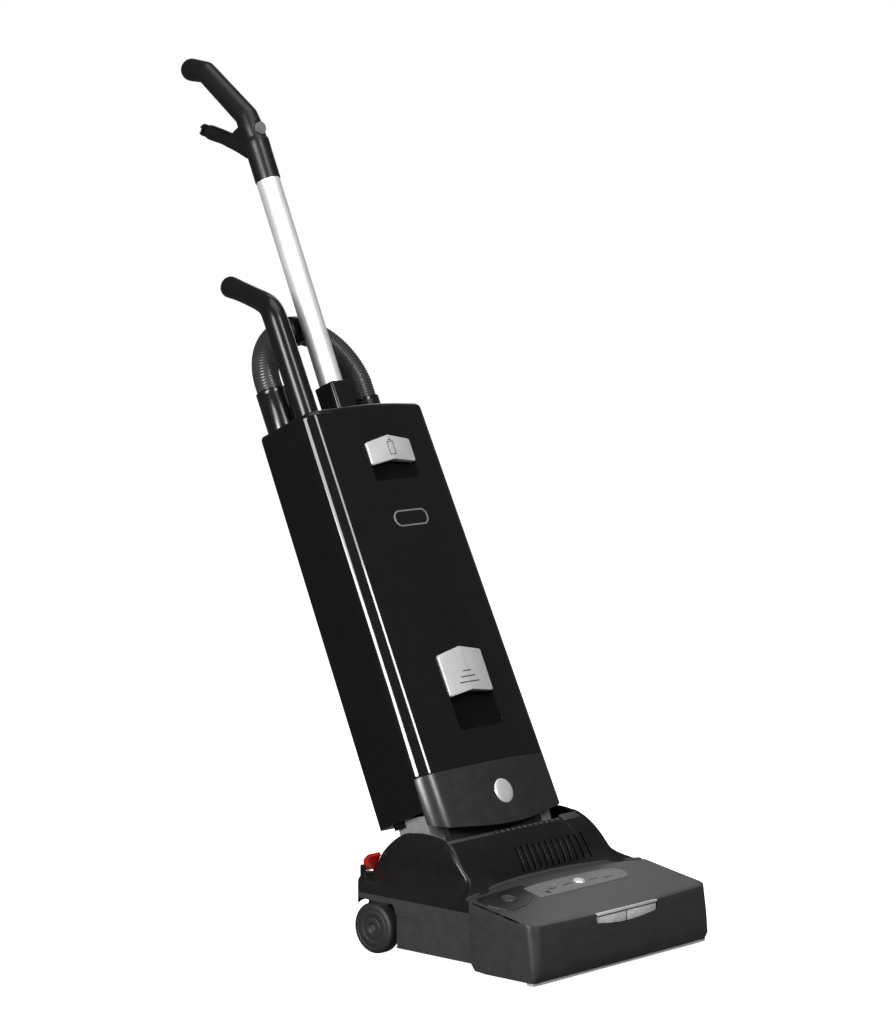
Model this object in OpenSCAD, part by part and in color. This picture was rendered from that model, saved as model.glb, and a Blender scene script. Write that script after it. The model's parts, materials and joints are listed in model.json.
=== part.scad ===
/* [Overall] */
// Width across the sides of the brush head cover
head_w = 366; // [340:1:390]
// Angle that the upright body leans back from vertical at rest
lean = 24.5; // [20:0.5:30]
// Height of the tilt axis above the floor
axis_z = 86; // [84:1:90]
// Distance of the frame's centre behind the head's own datum line
centre_y = 211.5; // [205:0.5:220]

/* [Head] */
// Radius of the rear wheels
wheel_r = 35; // [32:0.5:37]
// Radius over the bristles of the brush roller
brush_r = 33.5; // [30:0.5:34]
// Half length of the bristle field
brush_half = 152; // [140:1:152]
// Radius of the domed cover round the tilt axis
dome_r = 86; // [84:0.5:88]
// Wall thickness of the head's plastic covers
head_wall = 3; // [2.4:0.1:3.5]

/* [Upright body] */
// Half width of the body at its lower end
body_hw0 = 132; // [130:0.5:134]
// Half width of the body at its upper end
body_hw1 = 122.5; // [121:0.5:125]
// Height of the body's top above the tilt axis, along the body
body_top = 673; // [670:1:690]
// Lean of the body's front face against its back, in degrees
face_lean = 0.75; // [0:0.05:1]
// Height of the seam between the door and the lower band
seam_w = 149; // [145:1:152]
// Wall thickness of the body shells
body_wall = 2.5; // [2:0.1:3]

/* [Handle and hose] */
// Radius of the aluminium handle tube
tube_r = 16; // [15:0.5:17]
// Radius of the suction wand
wand_r = 17.5; // [17:0.5:18]
// Radius of the hose
hose_r = 19; // [18:0.5:19]
// Half distance between the two hose ends
hose_x = 89.5; // [88:0.5:91]

/* [Hidden] */
$fn = 48;
eps = 0.01;
// Tilt axis and running clearances
axis_y = 25;
gap = 0.3;
run = 0.05;
// Brush roller
brush_y = -150;
brush_z = 36;
brush_core_r = 22;
brush_shaft_r = 6;
tunnel_r = 38;
plate_x = 158;
// Brush motor
motor_y = -78;
motor_z = 52;
motor_r = 27;
motor_shaft_r = 4;
brush_pulley_r = 16;
motor_pulley_r = 8;
pulley_x = 164.5;
// Head heights
base_x = 177;
base_z0 = 15;
base_top = 60;
skirt_x = 178.5;
skirt_top = 82;
hood_rear = -92.5;
hood_rear_z = 100.4;
hood_front_z = 82.4;
// Wheels and rollers
wheel_y = 87;
wheel_in = 157;
rear_axle_r = 5;
roller_r = 9;
roller_y = -84;
roller_x = 131.8;
pedal_y = 111.5;
pedal_z = 114;
// Plan corner of the head's rear
rear_y = 127;
rear_corner = 25;
// Neck
drum_r = 62;
drum_half = 133;
journal_r = 14;
bush_r = 18;
// Upright body planes, measured from the tilt axis
body_front = -67;
body_rear = 56;
body_crown = 485;
body_corner = 30;
// Undersides of the rear shell and of the lower band, round the tilt axis
belly_r = 103;
band_r = 91.5;
split_v = -44;
// Height of the rear shell's underside
shell_w = 100;
// Hose and wand
hose_v = 36;
hose_in = 16;
arch_w = 741.5;
arch_tilt = 5.5;
cuff_r = 21.5;
duct_r = 23.6;
wand_x = -80;
wand_v = -7;
tube_v = 4.7;
tube_w = 736;
tube_tilt = 1;

// ---- frames -------------------------------------------------------------

// Head: y is measured from the head's datum line, z from the floor.
module head_at() {
    translate([0, -centre_y, 0]) children();
}

// Upright: y runs back from the tilt axis, z runs up along the leaning body.
module upright_at() {
    translate([0, axis_y - centre_y, axis_z]) rotate([-lean, 0, 0]) children();
}

// Handle: as the upright, but following the slight forward set of the tube.
module handle_at() {
    upright_at() translate([0, tube_v, tube_w]) rotate([tube_tilt, 0, 0]) children();
}

// An outline drawn as (y, z), given a width along x.
module side(x0, w) {
    translate([x0, 0, 0]) rotate([90, 0, 90]) linear_extrude(w) children();
}

// An outline drawn as (x, z), given a depth along y.
module front(y0, d) {
    translate([0, y0 + d, 0]) rotate([90, 0, 0]) linear_extrude(d) children();
}

// A round bar along x.
module bar_x(x0, len, r, y, z) {
    translate([x0, y, z]) rotate([0, 90, 0]) cylinder(h = len, r = r);
}

// A ring along x.
module ring_x(x0, len, r, bore, y, z) {
    difference() {
        bar_x(x0, len, r, y, z);
        bar_x(x0 - 1, len + 2, bore, y, z);
    }
}

// The same thing on the right and, mirrored, on the left.
module both() {
    children();
    mirror([1, 0, 0]) children();
}

function arc(cy, cz, r, a0, a1, n) =
    [for (i = [0:n]) let (a = a0 + (a1 - a0) * i / n) [cy + r * sin(a), cz + r * cos(a)]];

function bend(p, q, s, n) =
    [for (i = [1:n - 1]) let (t = i / n)
        (1 - t) * (1 - t) * p + 2 * t * (1 - t) * q + t * t * s];

// ---- head: fixed pieces -------------------------------------------------

module base_housing() color([0.23, 0.23, 0.24]) head_at() {
    wing_w = base_x - 149;
    difference() {
        union() {
            // Centre tray with its rear wall
            side(-152, 304) polygon([[-108, base_z0], [118, base_z0], [118, 55], [115, 55],
                [115, 18], [-108, 18]]);
            both() {
                // Wheel-well wall, side wing floor, side wall and the well's front wall
                side(149, 3) polygon([[40, 18], [118, 18], [118, 66], [40, 66]]);
                side(149, wing_w) polygon([[-92, base_z0], [42, base_z0], [42, 18], [-92, 18]]);
                side(base_x - 2.5, 2.5) polygon([[-92, 17], [42, 19], [42, base_top], [-92, base_top]]);
                side(149, wing_w - 2.4) polygon([[39.5, 18], [42, 18], [42, base_top], [39.5, base_top]]);
                // Pivot pedestal
                side(138, 8) polygon([[0, 18], [50, 18], [47, axis_z + 10], [36, axis_z + 21],
                    [14, axis_z + 21], [3, axis_z + 10]]);
                // Wheel axle boss
                bar_x(138, 14, 12, wheel_y, wheel_r);
                side(138, 14) polygon([[wheel_y - 8, 18], [wheel_y + 8, 18], [wheel_y + 8, 30],
                    [wheel_y - 8, 30]]);
                // Roller ears
                for (x = [roller_x - 3.4, roller_x + 18.7]) side(x, 3)
                    polygon([[-93, 5], [-75, 5], [-75, base_z0 + 1], [-93, base_z0 + 1]]);
                // End plate of the brush tunnel
                side(plate_x, 3) polygon([[-190, 8], [-190, 40], [-176, 68], [-160, 76],
                    [-140, 76], [-110, 60], [-110, 8]]);
            }
            // Brush tunnel
            difference() {
                bar_x(-plate_x, 2 * plate_x, tunnel_r + 2.5, brush_y, brush_z);
                translate([-200, -260, -50]) cube([400, 200, 50 + 8]);
            }
            // Motor saddles
            for (x = [-20, 100]) side(x, 8)
                polygon([[-105, 18], [-51, 18], [-51, 40], [-105, 40]]);
        }
        difference() {
            bar_x(-plate_x, 2 * plate_x, tunnel_r, brush_y, brush_z);
            both() translate([plate_x, -200, 0]) cube([10, 100, 100]);
        }
        bar_x(-60, 240, motor_r + 0.1, motor_y, motor_z);
        // Air outlet of the tunnel
        translate([-98, -125, 33]) cube([46, 20, 26]);
        both() {
            bar_x(plate_x - 1, 5, 14, brush_y, brush_z);
            bar_x(137, 10, bush_r, axis_y, axis_z);
            bar_x(137, 16, rear_axle_r, wheel_y, wheel_r);
            bar_x(roller_x - 4, 26.4, 2.5, roller_y, roller_r);
            translate([roller_x - 0.4, -95, 10]) cube([19.1, 21, 9]);
        }
    }
}

module sole_plate() color([0.45, 0.46, 0.48]) head_at() difference() {
    translate([-174, -192, 5]) cube([348, 81, 2.5]);
    translate([-brush_half - 4, -180, 4]) cube([2 * brush_half + 8, 60, 5]);
    for (x = [-165, 165]) translate([x, -186, 4]) cylinder(h = 5, r = 2.2);
}

module wear_strip() color([0.62, 0.63, 0.64]) head_at() {
    both() translate([0, -204, 2.2]) cube([168, 11.9, 4]);
    both() translate([168, -203, 2.2]) cube([12, 10.9, 4]);
}

// Upright block with the head's plan, rounded at its rear corners, set in by t
module head_plan(t) {
    corner = [for (a = [0:10:90]) [skirt_x - rear_corner + (rear_corner - t) * cos(a),
        rear_y - rear_corner + (rear_corner - t) * sin(a)]];
    translate([0, 0, -10]) linear_extrude(250) polygon(concat([[-skirt_x + t, -300],
        [skirt_x - t, -300]], corner, [for (i = [0:9]) [-corner[9 - i][0], corner[9 - i][1]]]));
}

// Mid-grey rim under the dome, notched over the wheels
module skirt_band() color([0.18, 0.18, 0.19]) head_at() both() intersection() {
    difference() {
        head_plan(0);
        head_plan(head_wall);
    }
    side(143, 50) polygon([[hood_rear + 0.3, base_top + 0.2], [42, base_top + 0.2], [48, 74],
        [114, 74], [117, 66], [130, 66], [130, skirt_top], [hood_rear + 0.3, skirt_top]]);
}

function dome_side(r, low) = concat([[hood_rear + 0.3 + (dome_r - r), low],
    [hood_rear + 0.3 + (dome_r - r), 99.4 - (dome_r - r)]],
    bend([-92, 99.4 - (dome_r - r)], [-71 + (dome_r - r), 105 - (dome_r - r)],
        [axis_y - r * sin(50), axis_z + r * cos(50)], 6),
    arc(axis_y, axis_z, r, -50, 77, 26),
    [[127 - (dome_r - r), 104 - (dome_r - r)], [126 - (dome_r - r), low]]);

function dome_ends(t, low) = [[skirt_x - t, low], [skirt_x - 0.5 - t, 86], [172 - t, 93],
    [160 - t, 100 - t / 2], [153 - t, 110], [150 - t, 132], [142 - t, 160], [137 - t, 176],
    [-137 + t, 176], [-142 + t, 160], [-150 + t, 132], [-153 + t, 110],
    [-160 + t, 100 - t / 2], [-172 + t, 93], [-skirt_x + 0.5 + t, 86], [-skirt_x + t, low]];

module dome_solid(t, low) intersection() {
    side(-190, 380) polygon(dome_side(dome_r - t, low));
    front(-120, 260) polygon(dome_ends(t, low));
    head_plan(t);
}

module dome_cover() color([0.05, 0.05, 0.055]) head_at() {
    lip = 27;
    difference() {
        dome_solid(0, skirt_top + 0.2);
        dome_solid(head_wall, skirt_top - 5);
        // Opening that the neck swings through
        side(-139, 278) polygon([[axis_y - 60 * sin(lip), axis_z + 60 * cos(lip)],
            [axis_y - 100 * sin(lip), axis_z + 100 * cos(lip)], [0, 220], [200, 220], [200, 60],
            [60, 60]]);
        // Room for the body to lie back between the two shelves
        translate([-143, 95, 60]) cube([286, 60, 100]);
        // Vent slots down the front of the dome
        for (i = [0:11]) side(-52 + 14.5 * i, 5) polygon([
            for (a = [-72, -66, -60, -54, -48, -44]) [axis_y + 90 * sin(a), axis_z + 90 * cos(a)],
            [axis_y + 70 * sin(-44), axis_z + 70 * cos(44)],
            [axis_y + 70 * sin(-72), axis_z + 70 * cos(72)]]);
    }
    // Ears that hold the two pedals
    both() for (ear = [[142.6, 103], [167.8, 93.4]]) side(ear[0], 2.5) polygon([[107.8, ear[1]],
        [116, ear[1]], [116, 115], [114, 118], [110, 118], [107.8, 115]]);
}

module hood_shape(t) intersection() {
    side(-200, 400) polygon(concat([[hood_rear, 6.5 - 40 * sign(t)],
        [hood_rear, hood_rear_z - t * 1.02], [-197 + t, hood_front_z - t * 1.02]],
        bend([-199 + t, hood_front_z - 0.5 - t], [-211 + t, 66], [-212 + t, 40], 5),
        [[-212 + t, 40], [-212 + t, 14], [-204 + t, 6.5 - 40 * sign(t)]]));
    translate([0, 0, -40]) linear_extrude(160) hull() {
        both() translate([head_w / 2 - 18, -188]) circle(r = 18 - t);
        both() translate([head_w / 2 - 4, -110]) circle(r = 4 - t);
        both() translate([head_w / 2 - 4 - t / 3, -70]) square([4 - t * 0.667, 1]);
        for (x = [-120, -60, 0, 60, 120]) translate([x, -200 - t / 8]) circle(r = 12 - 5 * (x * x / 14400) - t);
    }
}

module front_hood() color([0.2, 0.2, 0.21]) head_at() difference() {
    hood_shape(0);
    hood_shape(head_wall);
    translate([-200, hood_rear - 3.4, -1]) cube([400, 20, 8]);
    // Headlight window, button bores and the panel's seat
    translate([-62, -230, 62]) cube([130, 40, 17]);
    translate([-127.5, -114.6, 80]) cylinder(h = 30, r = 11.5);
    translate([21, -111, 80]) cylinder(h = 30, r = 9.5);
}

// Lighter rim where the dome rises out of the hood
module hood_trim() color([0.3, 0.3, 0.31]) head_at() difference() {
    side(-176, 352) polygon([[hood_rear + 0.05, hood_rear_z - 2], [-84, hood_rear_z - 2],
        [-84, 104], [-86, 106.5], [hood_rear + 0.05, 102]]);
    dome_solid(-0.2, 70);
}

// Flat things lying on the sloping top of the hood: local z is up from its surface
module on_hood(x, y) {
    slope = atan((hood_rear_z - hood_front_z) / (197 + hood_rear));
    z = hood_rear_z + (y - hood_rear) * tan(slope);
    translate([x, y, z]) rotate([slope, 0, 0]) children();
}

module control_panel() color([0.5, 0.51, 0.53]) head_at() difference() {
    on_hood(12, -113.5) translate([0, 0, 0.05]) linear_extrude(0.9) hull() {
        translate([-86, -16]) square([1, 32]);
        both() translate([80, 0]) circle(r = 16);
    }
    translate([21, -111, 80]) cylinder(h = 30, r = 9.5);
    for (x = [-48, -24, 62, 80]) on_hood(x, -113.5) cylinder(h = 6, r = 2.5, center = true);
}

module indicator_lights() color([0.75, 0.8, 0.75]) head_at() {
    for (x = [-48, -24, 62, 80]) on_hood(x, -113.5) translate([0, 0, 0.1]) cylinder(h = 1.4, r = 2.5);
}

module panel_button() color([0.75, 0.76, 0.78]) head_at() {
    on_hood(21, -111) translate([0, 0, -6]) cylinder(h = 9, r = 9);
    on_hood(21, -111) translate([0, 0, -9]) cylinder(h = 3, r = 10.5);
}

// Black inset round the brush release button
module release_surround() color([0.06, 0.06, 0.065]) head_at() difference() {
    on_hood(-127.5, -114.6) translate([0, 0, 0.05]) linear_extrude(0.8) polygon([[-38, 20],
        [40, 20], [40, -5], [-33, -40], [-46, -38], [-48, 0]]);
    translate([-127.5, -114.6, 80]) cylinder(h = 30, r = 11.5);
}

module brush_release_button() color([0.25, 0.25, 0.26]) head_at() {
    on_hood(-127.5, -114.6) translate([0, 0, -6]) cylinder(h = 8.4, r = 11);
    on_hood(-127.5, -114.6) translate([0, 0, -9]) cylinder(h = 3, r = 12.6);
}

module headlight_frame() color([0.1, 0.1, 0.1]) head_at() difference() {
    translate([-61.8, -206, 62.2]) cube([129.6, 12, 16.6]);
    translate([-59, -207, 64.5]) cube([60, 14, 12]);
    translate([3, -207, 64.5]) cube([62, 14, 12]);
}

module headlight_lens() color([0.85, 0.86, 0.86, 0.6]) head_at() {
    translate([-58.8, -205.5, 64.7]) cube([59.6, 2, 11.6]);
    translate([3.2, -205.5, 64.7]) cube([61.6, 2, 11.6]);
}

// Headlight board with its four lamps, and the control board under the hood
module circuit_boards() color([0.1, 0.35, 0.18]) head_at() {
    translate([-55, -193.8, 63]) cube([116, 1.6, 15]);
    for (x = [-45, -15, 20, 50]) translate([x, -196.2, 68]) cube([5, 2.4, 5]);
    translate([-40, -108, 82]) cube([70, 14, 1.6]);
    translate([0, -105, 79]) cube([12, 8, 3]);
}

module brush_motor() color([0.55, 0.55, 0.57]) head_at() difference() {
    bar_x(-30, 150, motor_r, motor_y, motor_z);
    bar_x(-27, 144, motor_r - 3, motor_y, motor_z);
    bar_x(110, 20, motor_shaft_r + run, motor_y, motor_z);
}

module motor_rotor() color([0.5, 0.4, 0.3]) head_at() {
    bar_x(-24, 136, 22, motor_y, motor_z);
    bar_x(112, 61.5, motor_shaft_r, motor_y, motor_z);
}

module motor_pulley() color([0.7, 0.7, 0.72]) head_at()
    ring_x(pulley_x, 8, motor_pulley_r, motor_shaft_r, motor_y, motor_z);

module brush_pulley() color([0.15, 0.15, 0.16]) head_at()
    ring_x(pulley_x, 8, brush_pulley_r, brush_shaft_r, brush_y, brush_z);

module drive_belt() color([0.08, 0.08, 0.08]) head_at() side(pulley_x + 1, 6) difference() {
    hull() {
        translate([brush_y, brush_z]) circle(r = brush_pulley_r + 2.3);
        translate([motor_y, motor_z]) circle(r = motor_pulley_r + 2.3);
    }
    hull() {
        translate([brush_y, brush_z]) circle(r = brush_pulley_r + 0.3);
        translate([motor_y, motor_z]) circle(r = motor_pulley_r + 0.3);
    }
}

module brush_bearings() color([0.75, 0.75, 0.77]) head_at()
    both() ring_x(plate_x - 1, 5, 14, brush_shaft_r + run, brush_y, brush_z);

module brush_core() color([0.2, 0.2, 0.21]) head_at() {
    bar_x(-155, 310, brush_core_r, brush_y, brush_z);
    bar_x(-166, 339, brush_shaft_r, brush_y, brush_z);
}

// Four rows of tufts, each row wound once round the core
module brush_bristles() color([0.12, 0.12, 0.12]) head_at() {
    tufts = 19;
    for (row = [0:3]) for (i = [0:tufts - 1])
        translate([-brush_half + 8 + (2 * brush_half - 16) * i / (tufts - 1), brush_y, brush_z])
            rotate([row * 90 + i * 160 / tufts, 0, 0]) translate([-5, -2, brush_core_r + eps])
                cube([10, 4, brush_r - brush_core_r - 0.3]);
}

module suction_duct() color([0.12, 0.12, 0.13]) head_at() difference() {
    translate([-100, -118, 30]) cube([50, 100, 32]);
    translate([-98, -119, 33]) cube([46, 102, 26]);
    bar_x(-110, 70, tunnel_r + 2.5, brush_y, brush_z);
    bar_x(-110, 70, drum_r + 0.5, axis_y, axis_z);
}

module pivot_bushes() color([0.8, 0.78, 0.7]) head_at()
    both() ring_x(138, 8, bush_r, journal_r + run, axis_y, axis_z);

module axles() color([0.7, 0.7, 0.72]) head_at() both() {
    bar_x(138, 38, rear_axle_r, wheel_y, wheel_r);
    bar_x(roller_x - 3.4, 25, 2.5, roller_y, roller_r);
}

// Pedal pins, and the screws that hold the sole plate
module pins_and_screws() color([0.7, 0.7, 0.72]) head_at() both() {
    bar_x(145.2, 22.5, 2, pedal_y, pedal_z);
    translate([165, -186, 3.4]) {
        cylinder(h = 1.5, r = 4);
        cylinder(h = 6, r = 2);
    }
}

module power_switch() color([0.1, 0.1, 0.1]) head_at() {
    translate([-162, 108, 83]) cube([14, 12, 10]);
    translate([-157, 112, 93]) cube([5, 3, 2]);
}

// Wheels: a moulded disc with two rings on its outer face and a rounded tread
module wheel() rotate([0, 90, 0]) rotate_extrude() polygon([[rear_axle_r + run, 0], [30, 0],
    [33, 1], [wheel_r, 4], [wheel_r, 14], [34, 18], [31, 20.4], [27, 21], [25.5, 21], [25, 20],
    [23, 20], [22.5, 21], [15.5, 21], [15, 20], [13, 20], [12.5, 21], [7, 21], [7, 19.5],
    [rear_axle_r + run, 19.5]]);

module wheel_right() color([0.16, 0.16, 0.17]) head_at()
    translate([wheel_in, wheel_y, wheel_r]) wheel();

module wheel_left() color([0.16, 0.16, 0.17]) head_at()
    mirror([1, 0, 0]) translate([wheel_in, wheel_y, wheel_r]) wheel();

module front_roller_right() color([0.12, 0.12, 0.12]) head_at()
    ring_x(roller_x, 18.3, roller_r, 2.5 + run, roller_y, roller_r);

module front_roller_left() color([0.12, 0.12, 0.12]) head_at()
    mirror([1, 0, 0]) ring_x(roller_x, 18.3, roller_r, 2.5 + run, roller_y, roller_r);

// Pedal plate: lies against the dome's rear slope and follows the head's rear corner in plan
module pedal() difference() {
    intersection() {
        side(145.4, 22.1) polygon(concat(arc(axis_y, axis_z, dome_r + 1.2, 60, 73, 4),
            [[109.5, 109.5], [116, 109], [119.5, 112], [119.5, 116], [114.5, 123], [108, 129.5],
            [103.5, 133]]));
        head_plan(7.5);
    }
    bar_x(144, 26, 2 + run, pedal_y, pedal_z);
}

module power_pedal() color([0.8, 0.06, 0.05]) head_at() mirror([1, 0, 0]) pedal();

module recline_pedal() color([0.16, 0.16, 0.17]) head_at() pedal();

// ---- upright: neck ------------------------------------------------------

module neck_drum() color([0.1, 0.1, 0.105]) upright_at() {
    difference() {
        bar_x(-drum_half, 2 * drum_half, drum_r, 0, 0);
        bar_x(-drum_half + 3, 2 * drum_half - 6, drum_r - 3, 0, 0);
        // Port of the neck duct and the window that faces the head's duct
        translate([-30, -20, 30]) cube([60, 40, 60]);
        translate([-98, -80, -70]) cube([46, 80, 60]);
    }
    both() bar_x(drum_half, 13, journal_r, 0, 0);
}

module neck_yoke() color([0.56, 0.57, 0.58]) upright_at() both() difference() {
    union() {
        side(94, 29.5) polygon(concat(arc(0, 0, 81, -46, 18, 8), [[18, 50], [-42, 44]]));
        side(94, 29.5) polygon([[-38, 60], [-43, 78], [-43, 98], [-30, 104.5], [26, 104.5],
            [26, 60]]);
    }
    bar_x(90, 60, drum_r, 0, 0);
    difference() {
        bar_x(90, 60, 130, 0, 0);
        bar_x(89, 62, belly_r, 0, 0);
    }
}

// Wide duct between the yoke's arms, with a riser into the body
module neck_duct() color([0.12, 0.12, 0.13]) upright_at() difference() {
    union() {
        intersection() {
            translate([-93.5, -34, 40]) cube([187, 56, 80]);
            belly(belly_r - gap);
        }
        translate([-29.9, -19.9, drum_r]) cube([59.8, 39.8, 138 - drum_r]);
    }
    belly(drum_r + 0.05);
    intersection() {
        translate([-91, -31.5, 40]) cube([182, 51, 80]);
        belly(belly_r - 3);
    }
    translate([-27.5, -17.5, drum_r - 13]) cube([55, 35, 152 - drum_r]);
}

// ---- upright: body ------------------------------------------------------

function body_hw(w) = body_hw0 + (body_hw1 - body_hw0) * (w - 107) / (body_top - 107);

// Where the middle of the front face lies at a height w
function face_v(w) = body_front + (w - 200) * tan(face_lean);

// One half of the body's outline, s = -1 left or 1 right: bowed front, front corner, rear corner.
// The halves keep their shape and only move together up the taper, so every side facet is flat.
function body_half(t, w, s) = let (hw = body_hw(w), front_v = face_v(w)) concat(
    [for (x = [12:18:66]) [s * (x - body_hw0 + hw), front_v + t + x * x / body_crown / 2]],
    [for (a = [6:12:90]) [s * (hw - body_corner + (body_corner - t) * sin(a)),
        front_v + 41 - (body_corner - t) * cos(a)]],
    [for (a = [0:30:90]) [s * (hw - 9 + (9 - t) * cos(a)), body_rear - 9 + (9 - t) * sin(a)]]);

function body_ring(t, w) = let (r = body_half(t, w, 1), l = body_half(t, w, -1))
    [for (i = [0:2 * len(r) - 1]) let (p = i < len(r) ? r[i] : l[2 * len(r) - 1 - i]) [p[0], p[1], w]];

module body_solid(t, w0, w1) {
    n = len(body_ring(t, w0));
    polyhedron(concat(body_ring(t, w0), body_ring(t, w1)), concat([[for (i = [0:n - 1]) i]],
        [[for (i = [0:n - 1]) 2 * n - 1 - i]],
        [for (i = [0:n - 1]) let (k = (i + 1) % n) [i, n + i, n + k, k]]));
}

// Space over the head that the body's underside is cut back from
module belly(r) bar_x(-200, 400, r, 0, 0);

module shell(w0, w1, in0, in1) difference() {
    body_solid(0, w0, w1);
    body_solid(body_wall, in0, in1);
}

module rear_shell() color([0.045, 0.045, 0.05]) upright_at() {
    difference() {
        union() {
            shell(shell_w, body_top - 3, 60, body_top);
            // Underside: flat behind, arched over the neck
            body_solid(1, shell_w, shell_w + body_wall);
            intersection() {
                body_solid(1, shell_w, 115);
                belly(belly_r + body_wall);
            }
            // Stops for the door's edge
            intersection() {
                difference() {
                    body_solid(body_wall - 0.5, 160, 650);
                    body_solid(body_wall + 4, 155, 655);
                }
                translate([-200, split_v, 0]) cube([400, 8, 800]);
            }
        }
        belly(belly_r);
        translate([-200, -100, 0]) cube([400, 100 + split_v, 800]);
        translate([-30.2, -20.2, 90]) cube([60.4, 40.4, 60]);
        both() translate([hose_x, hose_v, 560]) {
            cylinder(h = 200, r = duct_r + gap);
            sphere(r = duct_r + gap);
        }
        translate([-15, body_rear - 10, 440]) cube([30, 20, 40]);
    }
    // Latch tab beside the arch
    both() translate([body_hw0 - 8, 10, 95]) cube([5, 18, 5.4]);
}

module top_outline(t, w0, w1) intersection() {
    body_solid(t, w0, w1);
    translate([-200, split_v + 0.4, 0]) cube([400, 200, 800]);
}

module lower_band() color([0.24, 0.24, 0.25]) upright_at() difference() {
    union() {
        shell(58, seam_w, 50, seam_w + 5);
        intersection() {
            body_solid(1, 58, 130);
            belly(band_r + 2.5);
        }
    }
    belly(band_r);
    translate([-200, split_v - 0.4, 0]) cube([400, 200, 800]);
    translate([0, body_front - 10, 105]) rotate([-90, 0, 0]) cylinder(h = 30, r = 17);
}

module band_cap() color([0.78, 0.79, 0.8]) upright_at() translate([0, face_v(105), 105])
    rotate([-90, 0, 0]) {
        translate([0, 0, -1.6]) cylinder(h = 1.5, r = 19);
        translate([0, 0, -0.1]) cylinder(h = 3.5, r = 16.9);
    }

// Deck over the suction motor, and the plate that closes the top of the body
module motor_deck() color([0.1, 0.1, 0.105]) upright_at() {
    difference() {
        intersection() {
            body_solid(body_wall + 0.2, 286, 289);
            translate([-200, split_v + 8.2, 0]) cube([400, 200, 800]);
        }
        translate([0, -8, 200]) cylinder(h = 200, r = 25);
    }
    difference() {
        top_outline(0.3, body_top - 2.9, body_top);
        both() translate([hose_x, hose_v, 520]) cylinder(h = 200, r = duct_r + gap);
        translate([wand_x, wand_v, 600]) cylinder(h = 200, r = wand_r + 1.9);
        translate([-25, -18, 600]) cube([50, 47, 200]);
    }
}

module suction_motor() color([0.6, 0.6, 0.62]) upright_at() difference() {
    translate([0, -8, 162]) cylinder(h = 112, r = 40);
    translate([0, -8, 164]) cylinder(h = 108, r = 38.5);
    translate([0, -8, 260]) cylinder(h = 30, r = 22);
    translate([0, -8, 150]) cylinder(h = 30, r = 6 + run);
}

module suction_rotor() color([0.55, 0.42, 0.3]) upright_at() translate([0, -8, 0]) {
    translate([0, 0, 160]) cylinder(h = 100, r = 6);
    translate([0, 0, 170]) cylinder(h = 60, r = 26);
    translate([0, 0, 242]) cylinder(h = 12, r = 36);
}

module motor_mounts() color([0.1, 0.1, 0.1]) upright_at() translate([0, -8, 0]) {
    for (w = [154, 274]) translate([0, 0, w]) difference() {
        cylinder(h = w < 200 ? 8 : 12, r = 38);
        translate([0, 0, -1]) cylinder(h = 20, r = 30);
    }
}

module filter_bag() color([0.78, 0.72, 0.6]) upright_at()
    translate([-52, -40, 306]) cube([144, 42, 320]);

// Pre-motor foam, exhaust cassette and the bag's collar
module filters() color([0.82, 0.83, 0.84]) upright_at() {
    translate([0, -8, 289.2]) cylinder(h = 12, r = 38);
    intersection() {
        translate([-105, -62, 112]) cube([210, 16, 35]);
        body_solid(body_wall + 0.5, 100, 150);
    }
    translate([-10, -44, 626.2]) difference() {
        cube([80, 50, 3]);
        translate([40, 25, -1]) cylinder(h = 5, r = 18);
    }
}

// ---- upright: hose and wand --------------------------------------------

module hose_ducts() color([0.05, 0.05, 0.055]) upright_at() {
    both() translate([hose_x, hose_v, 0]) difference() {
        union() {
            translate([0, 0, 560]) cylinder(h = 112, r = duct_r);
            translate([0, 0, 560]) sphere(r = duct_r);
        }
        translate([0, 0, 556]) cylinder(h = 130, r = duct_r - 1.9);
        translate([0, 0, 550]) cylinder(h = 130, r = 15);
    }
}

// The hose's centreline runs up one leg, round the arch and down the other: each station
// holds its centre, the direction away from the arch's middle, and the arch's own normal.
hose_path = let (n = 28, foot = 662, lean_back = [0, cos(arch_tilt), -sin(arch_tilt)]) concat(
    [[[-hose_x, hose_v, foot], [-1, 0, 0], [0, 1, 0]]],
    [for (i = [0:n]) let (a = 180 - 180 * i / n,
            out = [cos(a), sin(a) * sin(arch_tilt), sin(a) * cos(arch_tilt)])
        [[0, hose_v, arch_w] + hose_x * out, out, lean_back]],
    [[[hose_x, hose_v, foot], [1, 0, 0], [0, 1, 0]]]);

function hose_rings(r, sides) = [for (s = hose_path) for (k = [0:sides - 1])
    s[0] + r * (cos(360 * k / sides) * s[1] + sin(360 * k / sides) * s[2])];

module hose() color([0.13, 0.13, 0.14]) upright_at() {
    sides = 24;
    rings = len(hose_path);
    inner = rings * sides;
    last = inner - sides;
    polyhedron(concat(hose_rings(hose_r, sides), hose_rings(hose_in, sides)), concat(
        [for (i = [0:rings - 2]) for (k = [0:sides - 1]) let (a = i * sides, b = (k + 1) % sides)
            [a + k, a + b, a + sides + b, a + sides + k]],
        [for (i = [0:rings - 2]) for (k = [0:sides - 1])
            let (a = inner + i * sides, b = (k + 1) % sides)
            [a + k, a + sides + k, a + sides + b, a + b]],
        [for (k = [0:sides - 1]) let (b = (k + 1) % sides) [k, inner + k, inner + b, b]],
        [for (k = [0:sides - 1]) let (b = (k + 1) % sides)
            [last + k, last + b, last + inner + b, last + inner + k]]));
}

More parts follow.
